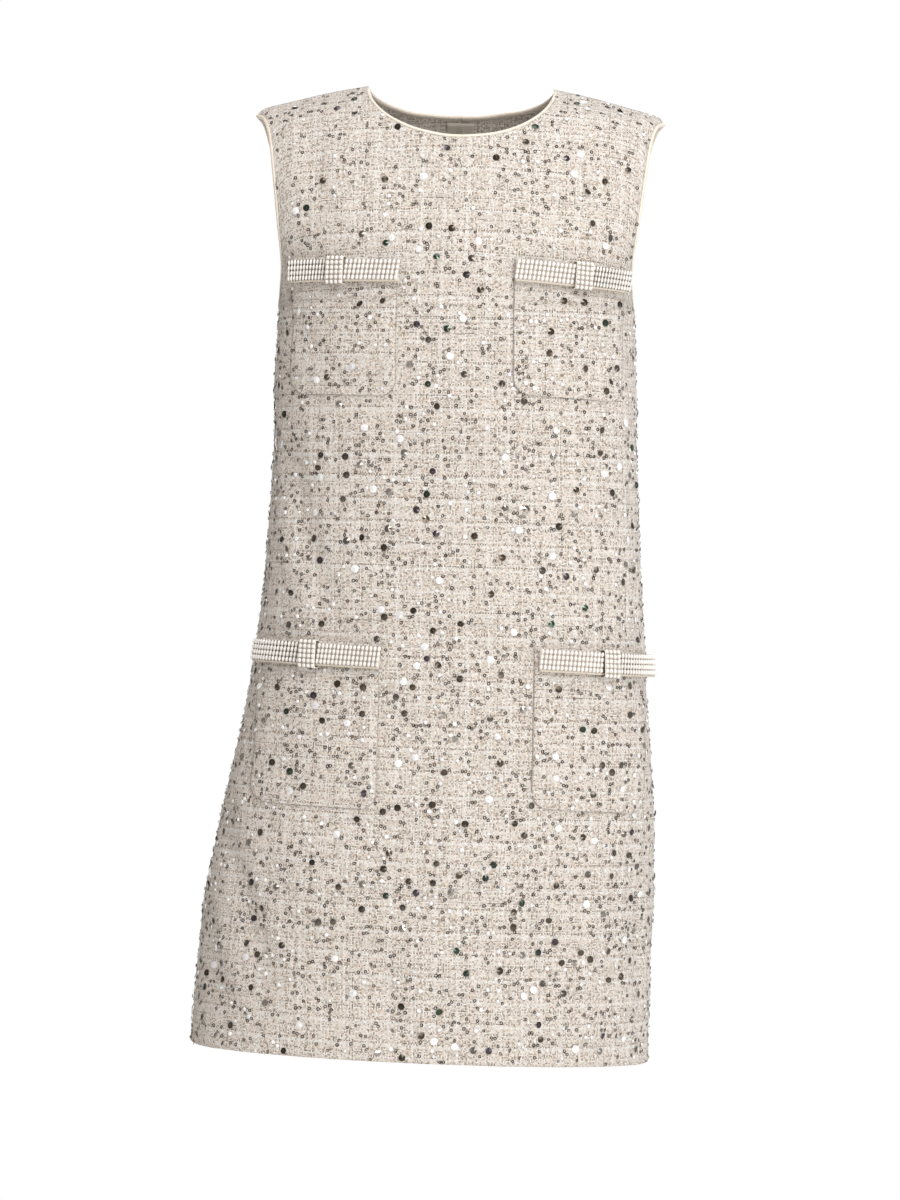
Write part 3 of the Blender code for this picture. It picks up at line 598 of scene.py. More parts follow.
BACK_YOKE = [
    (-177, 151.9, 15, -178.5, 100.4, -177.5, 84.6, 0.80),
    (-170, 149.3, 29, -171, 100.8, -171, 77.7, 0.80),
    (-148, 144.8, 46, -145, 101.6, -150, 69.5, 0.81),
    (-113, 148.5, 52, -113, 100, -115, 65, 0.83),
    (-70, 157.0, 46, -69, 94, -75, 62, 0.87),
    (-38, 164.0, 29, -36, 82, -40, 56, 0.92),
    (-12, 169.5, 16, -19, 58, -6, 50, 0.96),
]
BACK_NECK_DEPTH = 19.3
BACK_FOLDS = [
    (-4.2, 15, (139, -318), (82, -356), (24, -384)),
    (-3.6, 14, (-142, -346), (-88, -388), (-40, -404)),
    (2.0, 15, (128, -352), (84, -396), (40, -418)),
    (-2.8, 15, (-136, -262), (-100, -300), (-52, -322)),
    (-6.0, 22, (-84, -560), (-98, -700), (-106, -830)),
    (3.4, 24, (-44, -610), (-48, -720), (-50, -830)),
    (-6.8, 24, (52, -520), (70, -690), (79, -830)),
    (3.8, 26, (8, -600), (14, -730), (20, -830)),
    (-4.4, 18, (142, -590), (160, -700), (170, -826)),
    (-3.6, 17, (-146, -640), (-164, -730), (-172, -826)),
    (-2.4, 14, (134, -178), (104, -214), (70, -244)),
    (-2.0, 13, (-136, -182), (-112, -222), (-84, -252)),
    (-2.2, 18, (118, -30), (112, -78), (104, -128)),
    (-1.8, 16, (-122, -38), (-118, -84), (-108, -124)),
]
BACK = Half(
    1, [(level, width, depth, BACK_SQUARENESS) for level, width, _, depth, _ in RINGS],
    BACK_YOKE, BACK_NECK_DEPTH, BACK_FOLDS,
)
back_columns = half_columns(BACK)
back_cloths = {}
for hand, columns in (("left", back_columns), ("right", -back_columns[::-1])):
    back_cloths[hand] = cut_cloth(BACK, columns, 23)
    back = sew_shell("back_of_tweed_" + hand, back_cloths[hand], tweed, True)
    wear(back, "back_panel_" + hand)

# ---------------------------------------------------------------- the bindings
# The neck and both armholes are bound with a narrow strip of smooth cream satin, cut on the bias
# and folded over the edge of the tweed. The neck's is open at the centre back, over the zip.

BINDING_PROFILE = [
    (-0.9, 1.42), (0.2, 1.5), (1.2, 1.36), (1.85, 0.8), (2.1, 0.0), (1.85, -0.8), (1.2, -1.36),
    (0.2, -1.5), (-2.3, -1.42), (-2.3, -1.06), (0.6, -1.06), (1.5, 0.0), (0.6, 1.06), (-0.9, 1.06),
]
BINDING_CUT = 0.010
NECK_CENTRE = np.array((0, 0, 40.0))
ARMHOLE_CENTRE = np.array((165.0, 0, -85.0))


def satin_material(name, color, roughness, rib, rib_depth, shaded=None):
    """Smooth woven satin: fine ribs along the piece, and darker where pearls shade it.

    The painted shade runs between two distances across the piece and is given as those and as
    colours from distances along it.
    """
    look = Finish(name, Roughness=roughness, Sheen_Weight=0.3, Sheen_Roughness=0.35)
    uv = look.add("UVMap", uv_map="Cloth")[0]
    scaled = look.vector("MULTIPLY", uv, (60.0, 1 / rib, 1.0))
    ribs = {"Vector": scaled, "Scale": 0.31, "Distortion": 1.2}
    ribs = look.add("TexWave", ribs, bands_direction="Y")["Fac"]
    dark = tuple(0.88 * part for part in color)
    shown = look.steps(look.noise(uv, 220.0, 3.0)["Fac"], [(0.3, dark), (0.65, color)])
    if shaded is not None:
        low, high, colors = shaded
        along, across, _ = look.add("SeparateXYZ", {0: uv})
        under = look.math("GREATER_THAN", across, low)
        under = look.math("MULTIPLY", under, look.math("LESS_THAN", across, high))
        under = look.math("MULTIPLY", under, look.math("GREATER_THAN", along, 0.0))
        shown = look.blend(under, shown, look.steps(along, colors, "CONSTANT"))
    return look.made(Base_Color=shown, Normal=look.bump(ribs, rib_depth, 0.8))


satin = satin_material("binding_satin", (0.87, 0.78, 0.67), 0.42, 0.0006, 0.00006)


def outward(piece):
    """Turns every face of a closed piece outwards."""
    bpy.ops.object.select_all(action="DESELECT")
    bpy.context.view_layer.objects.active = piece
    piece.select_set(True)
    bpy.ops.object.mode_set(mode="EDIT")
    bpy.ops.mesh.select_all(action="SELECT")
    bpy.ops.mesh.normals_make_consistent(inside=False)
    bpy.ops.object.mode_set(mode="OBJECT")
    piece.select_set(False)


def bind_edge(name, node, points, out, centre, closed):
    """A strip folded over an edge, from the edge's points and the ways out of the cloth there."""
    if closed:
        following, previous = np.roll(points, -1, axis=0), np.roll(points, 1, axis=0)
    else:
        following = np.concatenate((points[1:], points[-1:]))
        previous = np.concatenate((points[:1], points[:-1]))
    away = unit(np.cross(following - previous, out))
    away *= np.where(np.sum(away * (centre - points), axis=-1) < 0, -1, 1)[:, None]
    middle = points - out * (CLOTH / 2)
    count, sides = len(points), len(BINDING_PROFILE)
    rings = np.stack([middle + away * a + out * h for a, h in BINDING_PROFILE], axis=1)
    index = np.arange(count * sides).reshape(count, sides)
    if closed:
        index = np.concatenate((index, index[:1]))
    index = np.concatenate((index, index[:, :1]), axis=1)
    faces = grid_faces(index, False)
    if not closed:
        faces += [index[0, :-1].tolist(), index[-1, :-1][::-1].tolist()]
    length = run_length(points)
    around = np.linspace(0, BINDING_CUT, sides)
    uv = np.stack(np.broadcast_arrays(length[:, None] * MM, around[None]), axis=-1)
    piece = new_piece(name, hang(rings).reshape(-1, 3), faces, satin, uv.reshape(-1, 2))
    outward(piece)
    wear(piece, node)


neck_turn = NECK_COLUMN * np.sin(np.linspace(0, np.pi / 2, 70))
neck_front = np.concatenate((neck_turn[-2::-1], -neck_turn[1:-1]))
neck_parts = [
    side.lifted(u, side.top_level(u))
    for side, u in ((BACK, neck_turn), (FRONT, neck_front), (BACK, -neck_turn[::-1]))
]
neck_points, neck_out = (np.concatenate(part) for part in zip(*neck_parts))
neck_points[0, 0], neck_points[-1, 0] = 0.15, -0.15
bind_edge("neck_binding_satin", "neck_binding", neck_points, neck_out, NECK_CENTRE, False)
arm_levels = UNDERARM + (SHOULDER - UNDERARM) * (1 - np.cos(np.linspace(0, np.pi, 90))) / 2
for hand, side_u in (("left", 1.0), ("right", -1.0)):
    arm_front, front_out = FRONT.lifted(side_u, arm_levels)
    arm_back, back_out = BACK.lifted(side_u, arm_levels[-2:0:-1])
    bind_edge(
        "armhole_binding_satin_" + hand, "armhole_binding_" + hand,
        np.concatenate((arm_front, arm_back)), np.concatenate((front_out, back_out)),
        ARMHOLE_CENTRE * (side_u, 1, 1), True,
    )

# ---------------------------------------------------------------- the patch pockets
# Four patches of the same tweed with rounded lower corners, turned in at their edges and sewn flat
# on the front. Their weave doesn't line up with the front's.

Pocket = namedtuple(
    "Pocket",
    "place side inner outer_top outer_bottom bow_level bottom radius slope bow_start knot bow_end",
)
POCKETS = [
    Pocket("upper_right", -1, 48.5, 138.0, 138.0, -152.0, -256.5, 14, -0.8, 48.0, 98.0, 132.0),
    Pocket("upper_left", 1, 49.5, 142.0, 142.0, -152.5, -255.5, 14, -2.5, 51.0, 104.0, 138.5),
    Pocket("lower_right", -1, 65.0, 162.0, 167.5, -476.5, -603.5, 15, -1.3, 65.0, 120.5, 159.0),
    Pocket("lower_left", 1, 64.5, 162.0, 168.0, -477.0, -600.5, 15, -1.8, 69.0, 126.0, 160.5),
]
POCKET_ABOVE_BOW = 11.5
# Both faces of a patch above the front, and how far its face is down at the edge and next to it
POCKET_UNDER = 0.35
POCKET_OVER = 2.2
POCKET_TURN = [(0, 1.1), (1, 0.35), (2, 0.08)]
POCKET_NUBS = 0.12
# What is turned in all round, and how far each patch's weave is moved from the front's
POCKET_HEM = 13.0
WEAVE_SHIFT = 0.0071


def tilted(place, x, x_level):
    """How far a pocket's or a bow's slope has risen at x, from where it is level."""
    return math.tan(math.radians(place.slope)) * (x - place.side * x_level)


def pocket_height(place):
    return place.bow_level + POCKET_ABOVE_BOW - place.bottom


def pocket_outline(place, height):
    """Both side edges of a pocket at heights above its bottom."""
    in_corner = place.radius - np.minimum(height, place.radius)
    inset = place.radius - np.sqrt(place.radius**2 - in_corner**2)
    widening = (place.outer_top - place.outer_bottom) * height / pocket_height(place)
    return place.inner + inset, place.outer_bottom + widening - inset


pocket_cloths = {}
for number, place in enumerate(POCKETS):
    top = pocket_height(place)
    corner = place.radius * (1 - np.cos(np.linspace(0, np.pi / 2, 9)))
    height = np.concatenate((corner, np.linspace(place.radius, top, 45)[1:]))
    share = np.linspace(0, 1, 49)
    share = share - 0.35 * np.sin(2 * np.pi * share) / (2 * np.pi)
    inner_edge, outer_edge = pocket_outline(place, height)
    x = place.side * (inner_edge + (outer_edge - inner_edge) * share[:, None])
    z = place.bottom + height + tilted(place, x, (place.inner + place.outer_bottom) / 2)
    u, level = FRONT.find(x, z)
    rng = np.random.default_rng(40 + number)
    over = np.full(x.shape, POCKET_OVER) + rng.normal(0, POCKET_NUBS, x.shape)
    for step, drop in POCKET_TURN:
        for line in (np.s_[step], np.s_[-1 - step], np.s_[:, step], np.s_[:, -1 - step]):
            over[line] = np.minimum(over[line], POCKET_OVER - drop)
    across, up = FRONT.weave_place(u, level)
    weave = np.stack((across * MM + WEAVE_SHIFT * (number + 1), up * MM - WEAVE_SHIFT), axis=-1)
    outer, out = FRONT.lifted(u, level, over)
    inner, out = FRONT.lifted(u[::2, ::2], level[::2, ::2], POCKET_UNDER)
    cloth = Cloth(hang(outer), hang(inner), np.stack((x, z), axis=-1), weave)
    pocket_cloths[place.place] = cloth
    piece = sew_shell("pocket_of_tweed_" + place.place, cloth, tweed, place.side < 0)
    wear(piece, "pocket_" + place.place)
    # painted shade along each pocket's sides and bottom: these rows are marked for darkening in the
    # tweed
    sewn = np.ones(x.shape)
    sewn[1:-1, 1:] = 0
    sewn = np.append(sewn, np.ones(inner[..., 0].size)).astype(np.float32)
    piece.data.attributes.new("Sewn", "FLOAT", "POINT").data.foreach_set("value", sewn)
    wide = (place.outer_bottom - place.inner + 2 * POCKET_HEM) * MM

# ---------------------------------------------------------------- the bows
# At each pocket's mouth lies a flat bow: a loop of cream ribbon set with four rows of small oval
# pearls, and a short strip with pearls on it wrapped round its middle. Both are sewn down.

# The strip lies on the pocket, and the band runs through it, clear of its back
LAID_GAP = 0.4
KNOT_WIDTH = 16.0
KNOT_HEIGHT = 26.0
KNOT_BASE = 2 * LAID_GAP + CLOTH
KNOT_BACK = 1.4
KNOT_FRONT = 9.0
KNOT_ROUND = 3.2
KNOT_CLEAR = 0.8
BOW_HEIGHT = 19.0
BOW_THICKNESS = 5.0
BOW_BASE = KNOT_BASE + KNOT_BACK + KNOT_CLEAR
# The outer end lifts off the pocket
BOW_LIFT = 4.0
# The band's ribbon, and its two faces from the band's middle
RIBBON = 0.8
RIBBON_FRONT = 0.6
RIBBON_BACK = -2.5
BEND_POINTS = 9

# How much of its column a pearl of the band fills, on the inner and on the outer side of the strip
PEARL_ACROSS = (0.86, 0.72)
PEARL_ALONG = 4.6
PEARL_LEAN = 0.11
PEARL_LIFT = 0.2
PEARL_PROUD = 1.6
PEARL_SIZES = (0.95, 1.03)
PEARLS_PAST_END = 1.9
PEARLS_UNDER_KNOT = 0.8
BAND_ROWS = (7.3, 2.9, -1.5, -5.9)
COLUMNS = {"upper_right": 13, "upper_left": 14, "lower_right": 16, "lower_left": 16}
KNOT_COLUMNS = (-6.1, -2.05, 2.05, 6.1)
KNOT_ROWS = (10.2, 6.1, 2.0, -2.0, -6.1, -10.2)
KNOT_PEARL = (3.5, 4.0)
# Pearls further than this from the strip's middle turn with its rounded edge
KNOT_PEARLS_TURN = 8.2
# Painted shade of the ribbon under the pearls
PAINTED_PEARL_SHADE = (0.36, 0.31, 0.26)

# painted shade: the ribbon is darkened under the pearls, and much more on the far wing, from 54 mm
# along, which is turned from the light
ribbon_satin = satin_material(
    "ribbon_satin", (0.68, 0.61, 0.51), 0.48, 0.0009, 0.00008,
    (-0.0082, 0.02, [(0.0, PAINTED_PEARL_SHADE), (0.054, (0.16, 0.135, 0.11))]),
)
# painted shade under the knot's pearls
knot_satin = satin_material(
    "knot_satin", (0.82, 0.76, 0.68), 0.55, 0.0009, 0.00008,
    (-0.0072, 0.0072, [(0.0, PAINTED_PEARL_SHADE), (0.5, PAINTED_PEARL_SHADE)]),
)


def bow_frames(place, shares, lift=0.0):
    """Points on the bow's middle line, and the ways along it, across it and out of the cloth."""
    def line(share):
        x = place.side * np.interp(share, (0, 0.5, 1), (place.bow_start, place.knot, place.bow_end))
        u, level = FRONT.find(x, place.bow_level + tilted(place, x, place.knot))
        points, out = FRONT.lifted(u, level)
        rise = BOW_BASE + BOW_THICKNESS / 2 + BOW_LIFT * np.maximum(2 * share - 1, 0) ** 2
        return points + out * (rise + lift)[..., None], out

    shares = np.asarray(shares, float)
    points, out = line(shares)
    along = line(np.minimum(shares + 0.02, 1))[0] - line(np.maximum(shares - 0.02, 0))[0]
    along = unit(along - out * np.sum(along * out, axis=-1, keepdims=True))
    return points, along, np.cross(along, out) * -place.side, out


def closed_band(name, contour_out, contour_in, ways, heights, drops, material, front):
    """A closed loop of ribbon: outlines of both faces, the way across, and its rounded edges."""
    count, rows = len(contour_out), len(heights)
    heights, drops = np.array(heights), np.array(drops)[None, :, None]
    middle = (contour_out + contour_in)[:, None] / 2
    faces_of = []
    for contour in (contour_out, contour_in):
        spread = contour[:, None] + (middle - contour[:, None]) * drops
        faces_of.append(spread + ways[:, None] * heights[None, :, None])
    vertices = np.concatenate([hang(side).reshape(-1, 3) for side in faces_of])
    index = np.arange(count * rows).reshape(count, rows)
    index = np.concatenate((index, index[:1]))
    second = index + count * rows
    faces = grid_faces(index, False) + grid_faces(second, True)
    for row, turned in ((0, False), (rows - 1, True)):
        strip = np.stack((index[:, row], second[:, row]), axis=1)
        faces += grid_faces(strip, turned)
    length = run_length(contour_out)
    along = length.copy()
    along[front:] *= -1
    uv = np.stack(np.broadcast_arrays(along[:, None], heights[None]), axis=-1).reshape(-1, 2) * MM
    piece = new_piece(name, vertices, faces, material, np.concatenate((uv, uv)))
    outward(piece)
    return piece, (length[-1] + np.linalg.norm(contour_out[0] - contour_out[-1])) * MM


def half_round(centre, start, side, radius, steps):
    """Points round a bend, from one face over the end to the other face."""
    angles = np.linspace(0, np.pi, steps + 2)[1:-1]
    return [centre + (start * math.cos(a) + side * math.sin(a)) * radius for a in angles]


def copies(name, template, places, material, tints=None):
    """One mesh of many copies of a small shape: places give point, across, up and out for each."""
    shape, shape_faces = template
    points, across, up, out, sizes = places
    vertices = points[:, None] + sizes[:, None, None] * (
        shape[None, :, :1] * across[:, None] + shape[None, :, 1:2] * up[:, None]
        + shape[None, :, 2:] * out[:, None]
    )
    faces = []
    for start in range(0, len(points) * len(shape), len(shape)):
        faces += [[start + corner for corner in face] for face in shape_faces]
    piece = new_piece(name, vertices.reshape(-1, 3), faces, material)
    if tints is not None:
        layer = piece.data.color_attributes.new("Tint", "FLOAT_COLOR", "POINT")
        tints = np.concatenate((tints, np.ones((len(tints), 1))), axis=1).astype(np.float32)
        layer.data.foreach_set("color", np.repeat(tints, len(shape), axis=0).ravel())
    wear(piece)
    return piece


def take_shape(piece):
    """The points and faces of a modelled shape, in millimetres, which is then removed."""
    points = np.array([vertex.co[:] for vertex in piece.data.vertices]) * 1000
    faces = [list(face.vertices) for face in piece.data.polygons]
    bpy.data.objects.remove(piece, do_unlink=True)
    return points, faces


def half_pearl():
    """An oval pearl with its back cut flat, where it is sewn to the ribbon."""
    bpy.ops.object.select_all(action="DESELECT")
    bpy.ops.mesh.primitive_uv_sphere_add(segments=12, ring_count=8, radius=0.5 * MM)
    bpy.ops.object.mode_set(mode="EDIT")
    bpy.ops.mesh.bisect(
        plane_co=(0, 0, -0.12 * MM), plane_no=(0, 0, -1), clear_outer=True, use_fill=True
    )
    bpy.ops.object.mode_set(mode="OBJECT")
    return take_shape(bpy.context.object)


def pearl_material():
    """Warm white nacre: glossy, with a faint clouding from pearl to pearl."""
    look = Finish("pearl_nacre", Roughness=0.22, Coat_Weight=0.7, Coat_Roughness=0.08)
    cloud = look.noise(look.add("TexCoord")["Object"], 260.0, 2.0)["Fac"]
    return look.made(Base_Color=look.steps(cloud, [
        (0.3, (0.78, 0.74, 0.70)), (0.5, (0.86, 0.83, 0.79)), (0.7, (0.88, 0.85, 0.84)),
    ]))


pearl_shape = half_pearl()
nacre = pearl_material()
for place in POCKETS:
    shares = np.concatenate((np.linspace(0, 0.5, 20), np.linspace(0.5, 1, 21)[1:]))
    points, along, up, out = bow_frames(place, shares)
    centre = points + out * ((RIBBON_FRONT + RIBBON_BACK) / 2)
    outlines = []
    for radius in ((RIBBON_FRONT - RIBBON_BACK) / 2, (RIBBON_FRONT - RIBBON_BACK) / 2 - RIBBON):
        far = half_round(centre[-1], out[-1], along[-1], radius, BEND_POINTS)
        near = half_round(centre[0], -out[0], -along[0], radius, BEND_POINTS)
        faces = (centre + out * radius, far, (centre - out * radius)[::-1], near)
        outlines.append(np.concatenate(faces))
    bends = [np.repeat(end[None], BEND_POINTS, axis=0) for end in (up[-1], up[0])]
    ways = np.concatenate((up, bends[0], up[::-1], bends[1]))
    edge = BOW_HEIGHT / 2
    heights = (-edge, -edge + 0.25, -edge + 1.2, -3, 3, edge - 1.2, edge - 0.25, edge)
    band, band_length = closed_band(
        "bow_ribbon_" + place.place, *outlines, ways, heights, (0.7, 0.2, 0, 0, 0, 0, 0.2, 0.7),
        ribbon_satin, len(points),
    )
    wear(band, "bow_band_" + place.place)

    # the strip round the middle, its outer and inner faces each a rounded rectangle from the side
    point, k_along, k_up, k_out = (value[0] for value in bow_frames(place, [0.5]))
    base = point - k_out * (BOW_BASE + BOW_THICKNESS / 2 - KNOT_BASE)
    strips = []
    for low, high, reach, round_off in (
        (0.0, KNOT_FRONT, KNOT_HEIGHT / 2 - 0.9, KNOT_ROUND),
        (0.9, KNOT_FRONT - 1.0, KNOT_HEIGHT / 2 - 1.9, 2.3),
    ):
        turn = []
        for start, corner_up, middle_out in (
            (0, 1, high - round_off), (90, -1, high - round_off),
            (180, -1, low + round_off), (270, 1, low + round_off),
        ):
            for angle in np.radians(np.linspace(start, start + 90, 5)):
                middle_up = corner_up * (reach - round_off)
                turn.append(
                    base + k_up * (middle_up + math.cos(angle) * round_off)
                    + k_out * (middle_out + math.sin(angle) * round_off)
                )
        strips.append(np.array(turn))
    half_width = KNOT_WIDTH / 2
    knot, knot_length = closed_band(
        "bow_knot_ribbon_" + place.place, *strips, np.repeat(k_along[None], len(turn), axis=0),
        (-half_width, -half_width + 0.3, -3, 3, half_width - 0.3, half_width),
        (0.7, 0.15, 0, 0, 0.15, 0.7), knot_satin, len(turn),
    )
    wear(knot, "bow_knot_" + place.place)

    # rows of pearls on the band's front, at even distances along it on both sides of the strip
    columns = COLUMNS[place.place]
    fine = np.linspace(0, 1, 401)
    length = run_length(bow_frames(place, fine, RIBBON_FRONT)[0])
    middle = np.interp(0.5, fine, length)
    stations, widths = [], []
    for start, end, share in (
        (-PEARLS_PAST_END, middle - half_width + PEARLS_UNDER_KNOT, PEARL_ACROSS[0]),
        (length[-1] + PEARLS_PAST_END, middle + half_width - PEARLS_UNDER_KNOT, PEARL_ACROSS[1]),
    ):
        step = (end - start) / columns
        stations += [start + step * (k + 0.5) for k in range(columns)]
        widths += [abs(step) * share] * columns
    points, along, up, out = bow_frames(place, np.interp(stations, length, fine), RIBBON_FRONT)
    points += along * (stations - np.clip(stations, 0, length[-1]))[:, None]
    rng = np.random.default_rng(7)
    lean = up + along * PEARL_LEAN * place.side
    wide = along * np.array(widths)[:, None]
    set_on = [
        (points + lean * row + out * PEARL_LIFT, wide, lean * PEARL_ALONG, out)
        for row in BAND_ROWS
    ]
    for row in KNOT_ROWS:
        bent = math.copysign(max(abs(row) - KNOT_PEARLS_TURN, 0) / KNOT_ROUND, row)
        back = (1 - math.cos(bent)) * KNOT_ROUND
        way_out = k_out * math.cos(bent) + k_up * math.sin(bent)
        way_up = k_up * math.cos(bent) - k_out * math.sin(bent)
        for column in KNOT_COLUMNS:
            point = base + k_along * column + k_up * row + k_out * (KNOT_FRONT - back)
            pearl = (point, k_along * KNOT_PEARL[0], way_up * KNOT_PEARL[1], way_out)
            set_on.append([part[None] for part in pearl])
    straight, *ways = (np.concatenate(part) for part in zip(*set_on))
    ways[2] = ways[2] * PEARL_PROUD * 2
    placed = [hang(straight)]
    placed += [hang(straight + way) - placed[0] for way in ways]
    count = len(straight)
    for k in (1, 2):
        placed[k] = placed[k] * rng.uniform(*PEARL_SIZES, (count, 1))
    sizes = np.ones(count)
    copies("pearls_" + place.place, pearl_shape, (*placed, sizes), nacre)

# ---------------------------------------------------------------- the zip
# A concealed zip runs down the inside of the centre back seam: a woven tape with a fine nylon coil
# along its middle. Its metal slider and pull tab are at the top, outside.

ZIP_BOTTOM = -510.0
ZIP_BELOW_EDGE = 3.4
ZIP_ACROSS = np.array((-12.0, -11.7, -8.0, -4.0, 0.0, 4.0, 8.0, 11.7, 12.0))
# The tape's two faces, from the cloth's inner face, with the coil on the second
TAPE_FACES = (0.3, 1.1)
COIL_STEP = 1.45
COIL_ASIDE = 1.15
COIL_WIDE = 1.35
COIL_THICK = 0.5


def tape_material():
    """Twill-woven tape, plain cream, a shade darker than the tweed."""
    look = Finish("zip_tape_twill", Roughness=0.7)
    uv = look.add("UVMap", uv_map="Cloth")[0]
    twill = {"Vector": uv, "Scale": 330.0, "Distortion": 0.4}
    twill = look.add("TexWave", twill, bands_direction="DIAGONAL")["Fac"]
    wear_tone = look.noise(uv, 90.0, 3.0)["Fac"]
    color = look.steps(wear_tone, [(0.3, (0.52, 0.47, 0.41)), (0.7, (0.58, 0.53, 0.46))])
    return look.made(Base_Color=color, Normal=look.bump(twill, 0.0001))


def zip_metal_material():
    """Pale nickel, brushed along the tab, with soft wear."""
    look = Finish("zip_nickel", Metallic=1.0)
    drawn = look.vector("MULTIPLY", look.add("TexCoord")["Object"], (9000.0, 9000.0, 300.0))
    brushed = look.noise(drawn, 1.0, 2.0)["Fac"]
    color = look.steps(brushed, [(0.3, (0.56, 0.53, 0.48)), (0.7, (0.66, 0.63, 0.57))])
    return look.made(Roughness=look.remap(brushed, 0.3, 0.7, 0.22, 0.4), Base_Color=color)


tape_cloth = tape_material()
zip_top = BACK.point(0.0, BACK.top_level(0.0))[2] - ZIP_BELOW_EDGE
tape_z = np.linspace(ZIP_BOTTOM, zip_top, 165)
tape_x, tape_rows = np.meshgrid(ZIP_ACROSS, tape_z, indexing="ij")
tape_u, tape_level = BACK.find(tape_x, tape_rows)
tape_faces = []
for depth, turned in zip(TAPE_FACES, (0.15, -0.15)):
    drop = np.full(tape_x.shape, -CLOTH - depth)
    drop[[0, -1]] -= turned
    tape_faces.append(hang(BACK.lifted(tape_u, tape_level, drop)[0]))
tape_uv = np.stack((tape_x, tape_rows), axis=-1) * MM
tape = sew_shell(
    "zip_tape_twill", Cloth(tape_faces[0], tape_faces[1], None, tape_uv), tape_cloth, True, 1
)
outward(tape)
wear(tape, "zip_tape")

bpy.ops.object.select_all(action="DESELECT")
bpy.ops.mesh.primitive_torus_add(
    major_segments=6, minor_segments=3, major_radius=1.0 * MM, minor_radius=0.3 * MM
)
coil_loop = take_shape(bpy.context.object)
coil_z = np.arange(ZIP_BOTTOM + 6, zip_top - 4, COIL_STEP)
coil_z = np.concatenate((coil_z, coil_z + COIL_STEP / 2))
coil_x = np.repeat((-COIL_ASIDE, COIL_ASIDE), len(coil_z) // 2)
coil_u, coil_level = BACK.find(coil_x, coil_z)
coil_points, coil_out = BACK.lifted(coil_u, coil_level, -CLOTH - TAPE_FACES[1] - COIL_THICK)
sideways = np.tile((1.0, 0.0, 0.0), (len(coil_z), 1))
coil_up = unit(np.cross(sideways, coil_out))
coil_ways = [
    hang(coil_points + way) - hang(coil_points)
    for way in (sideways * COIL_WIDE, coil_out * COIL_THICK, coil_up)
]
copies(
    "zip_coil", coil_loop, (hang(coil_points), *coil_ways, np.ones(len(coil_z))), tape_cloth,
)

zip_metal = zip_metal_material()
for node in ("zip_slider", "zip_pull_tab"):
    bpy.data.objects[node].material_slots[0].material = zip_metal

# ---------------------------------------------------------------- the sequins
# The tweed is sewn all over with small ring sequins of clear film with a dark rim, with larger
# cupped ones in bronze, charcoal and clear, and with small white beads. All lie nearly flat.

CUP_RADIUS = 3.2
# How many of each kind are wanted: dark, clear, beads, rings
COUNTS = {"front": (290, 80, 560, 2800), "back": (280, 76, 530, 2650)}
SEEDS = (400, 500, 400, 400)
# Places tried for each one wanted, and the cells in which others nearby are looked for
TRIES = 3
SEARCH_CELL = 10
EDGE_CLEAR = 0.8
POCKET_CLEAR = 2.0
BOW_CLEAR = 2.5
ZIP_CLEAR = 6.0
TAB_CLEAR = (9.0, -58.0)
# From the first level up to the second they thin out, to a share of the full number
YOKE_THINNER = ((-210.0, -110.0), (1.0, 0.60))
# The share of the rings with another close beside them, how far off, and how much turned
RING_PAIRS = 0.25
PAIR_DISTANCE = (2.7, 4.2)
PAIR_TURN = 0.6
DARK_TINTS = [
    (0.060, 0.050, 0.038), (0.085, 0.068, 0.050), (0.120, 0.096, 0.070), (0.045, 0.066, 0.048),
    (0.180, 0.160, 0.138), (0.360, 0.340, 0.310), (0.075, 0.062, 0.072), (0.120, 0.106, 0.090),
]
RING_TINTS = [
    (0.010, 0.005, 0.002), (0.016, 0.008, 0.004), (0.026, 0.016, 0.009), (0.070, 0.050, 0.034),
]
CLEAR_TINTS = [(0.96, 0.96, 0.95), (0.93, 0.95, 0.96), (0.95, 0.93, 0.95)]
TINT_SPREAD = (0.85, 1.15)


def cup_sequin():
    """A shallow faceted dome of thin film with a small hole in its middle."""
    bpy.ops.object.select_all(action="DESELECT")
    bpy.ops.mesh.primitive_circle_add(vertices=8, radius=CUP_RADIUS * MM, fill_type="NGON")
    bpy.ops.object.mode_set(mode="EDIT")
    bpy.ops.mesh.select_all(action="SELECT")
    bpy.ops.mesh.inset(thickness=2.7 * MM, depth=0.66 * MM)
    bpy.ops.mesh.delete(type="FACE")
    bpy.ops.object.mode_set(mode="OBJECT")
    cup = bpy.context.object
    film = cup.modifiers.new("film", "SOLIDIFY")
    film.thickness = 0.14 * MM
    bpy.ops.object.modifier_apply(modifier="film")
    return take_shape(cup)


def flattened(share):
    """Presses the shape just added to a share of its height, and takes it."""
    bpy.ops.object.mode_set(mode="EDIT")
    bpy.ops.mesh.select_all(action="SELECT")
    bpy.ops.transform.resize(value=(1, 1, share))
    bpy.ops.object.mode_set(mode="OBJECT")
    return take_shape(bpy.context.object)


def ring_sequin():
    """A small flat ring with a raised rim."""
    bpy.ops.object.select_all(action="DESELECT")
    bpy.ops.mesh.primitive_torus_add(
        major_segments=8, minor_segments=3, major_radius=1.14 * MM, minor_radius=0.44 * MM
    )
    return flattened(0.45)


def small_bead():
    """A flattened round bead."""
    bpy.ops.object.select_all(action="DESELECT")
    bpy.ops.mesh.primitive_uv_sphere_add(segments=8, ring_count=5, radius=1.6 * MM)
    return flattened(0.38)


def film_material(name, metallic, roughness, coat, specular=0.5):
    """Shiny film in the sequin's own tint, slightly uneven in gloss."""
    look = Finish(
        name, Metallic=metallic, Specular_IOR_Level=specular, Coat_Weight=coat,
        Coat_Roughness=0.05,
    )
    tint = look.add("Attribute", attribute_name="Tint")["Color"]
    scuff = look.noise(look.add("TexCoord")["Object"], 500.0, 2.0)["Fac"]
    shade = look.remap(scuff, 0.3, 0.7, 0.8, 1.1)
    gloss = look.remap(scuff, 0.3, 0.7, roughness * 0.7, roughness * 1.3)
    return look.made(Base_Color=look.blend(1.0, tint, shade, "MULTIPLY"), Roughness=gloss)


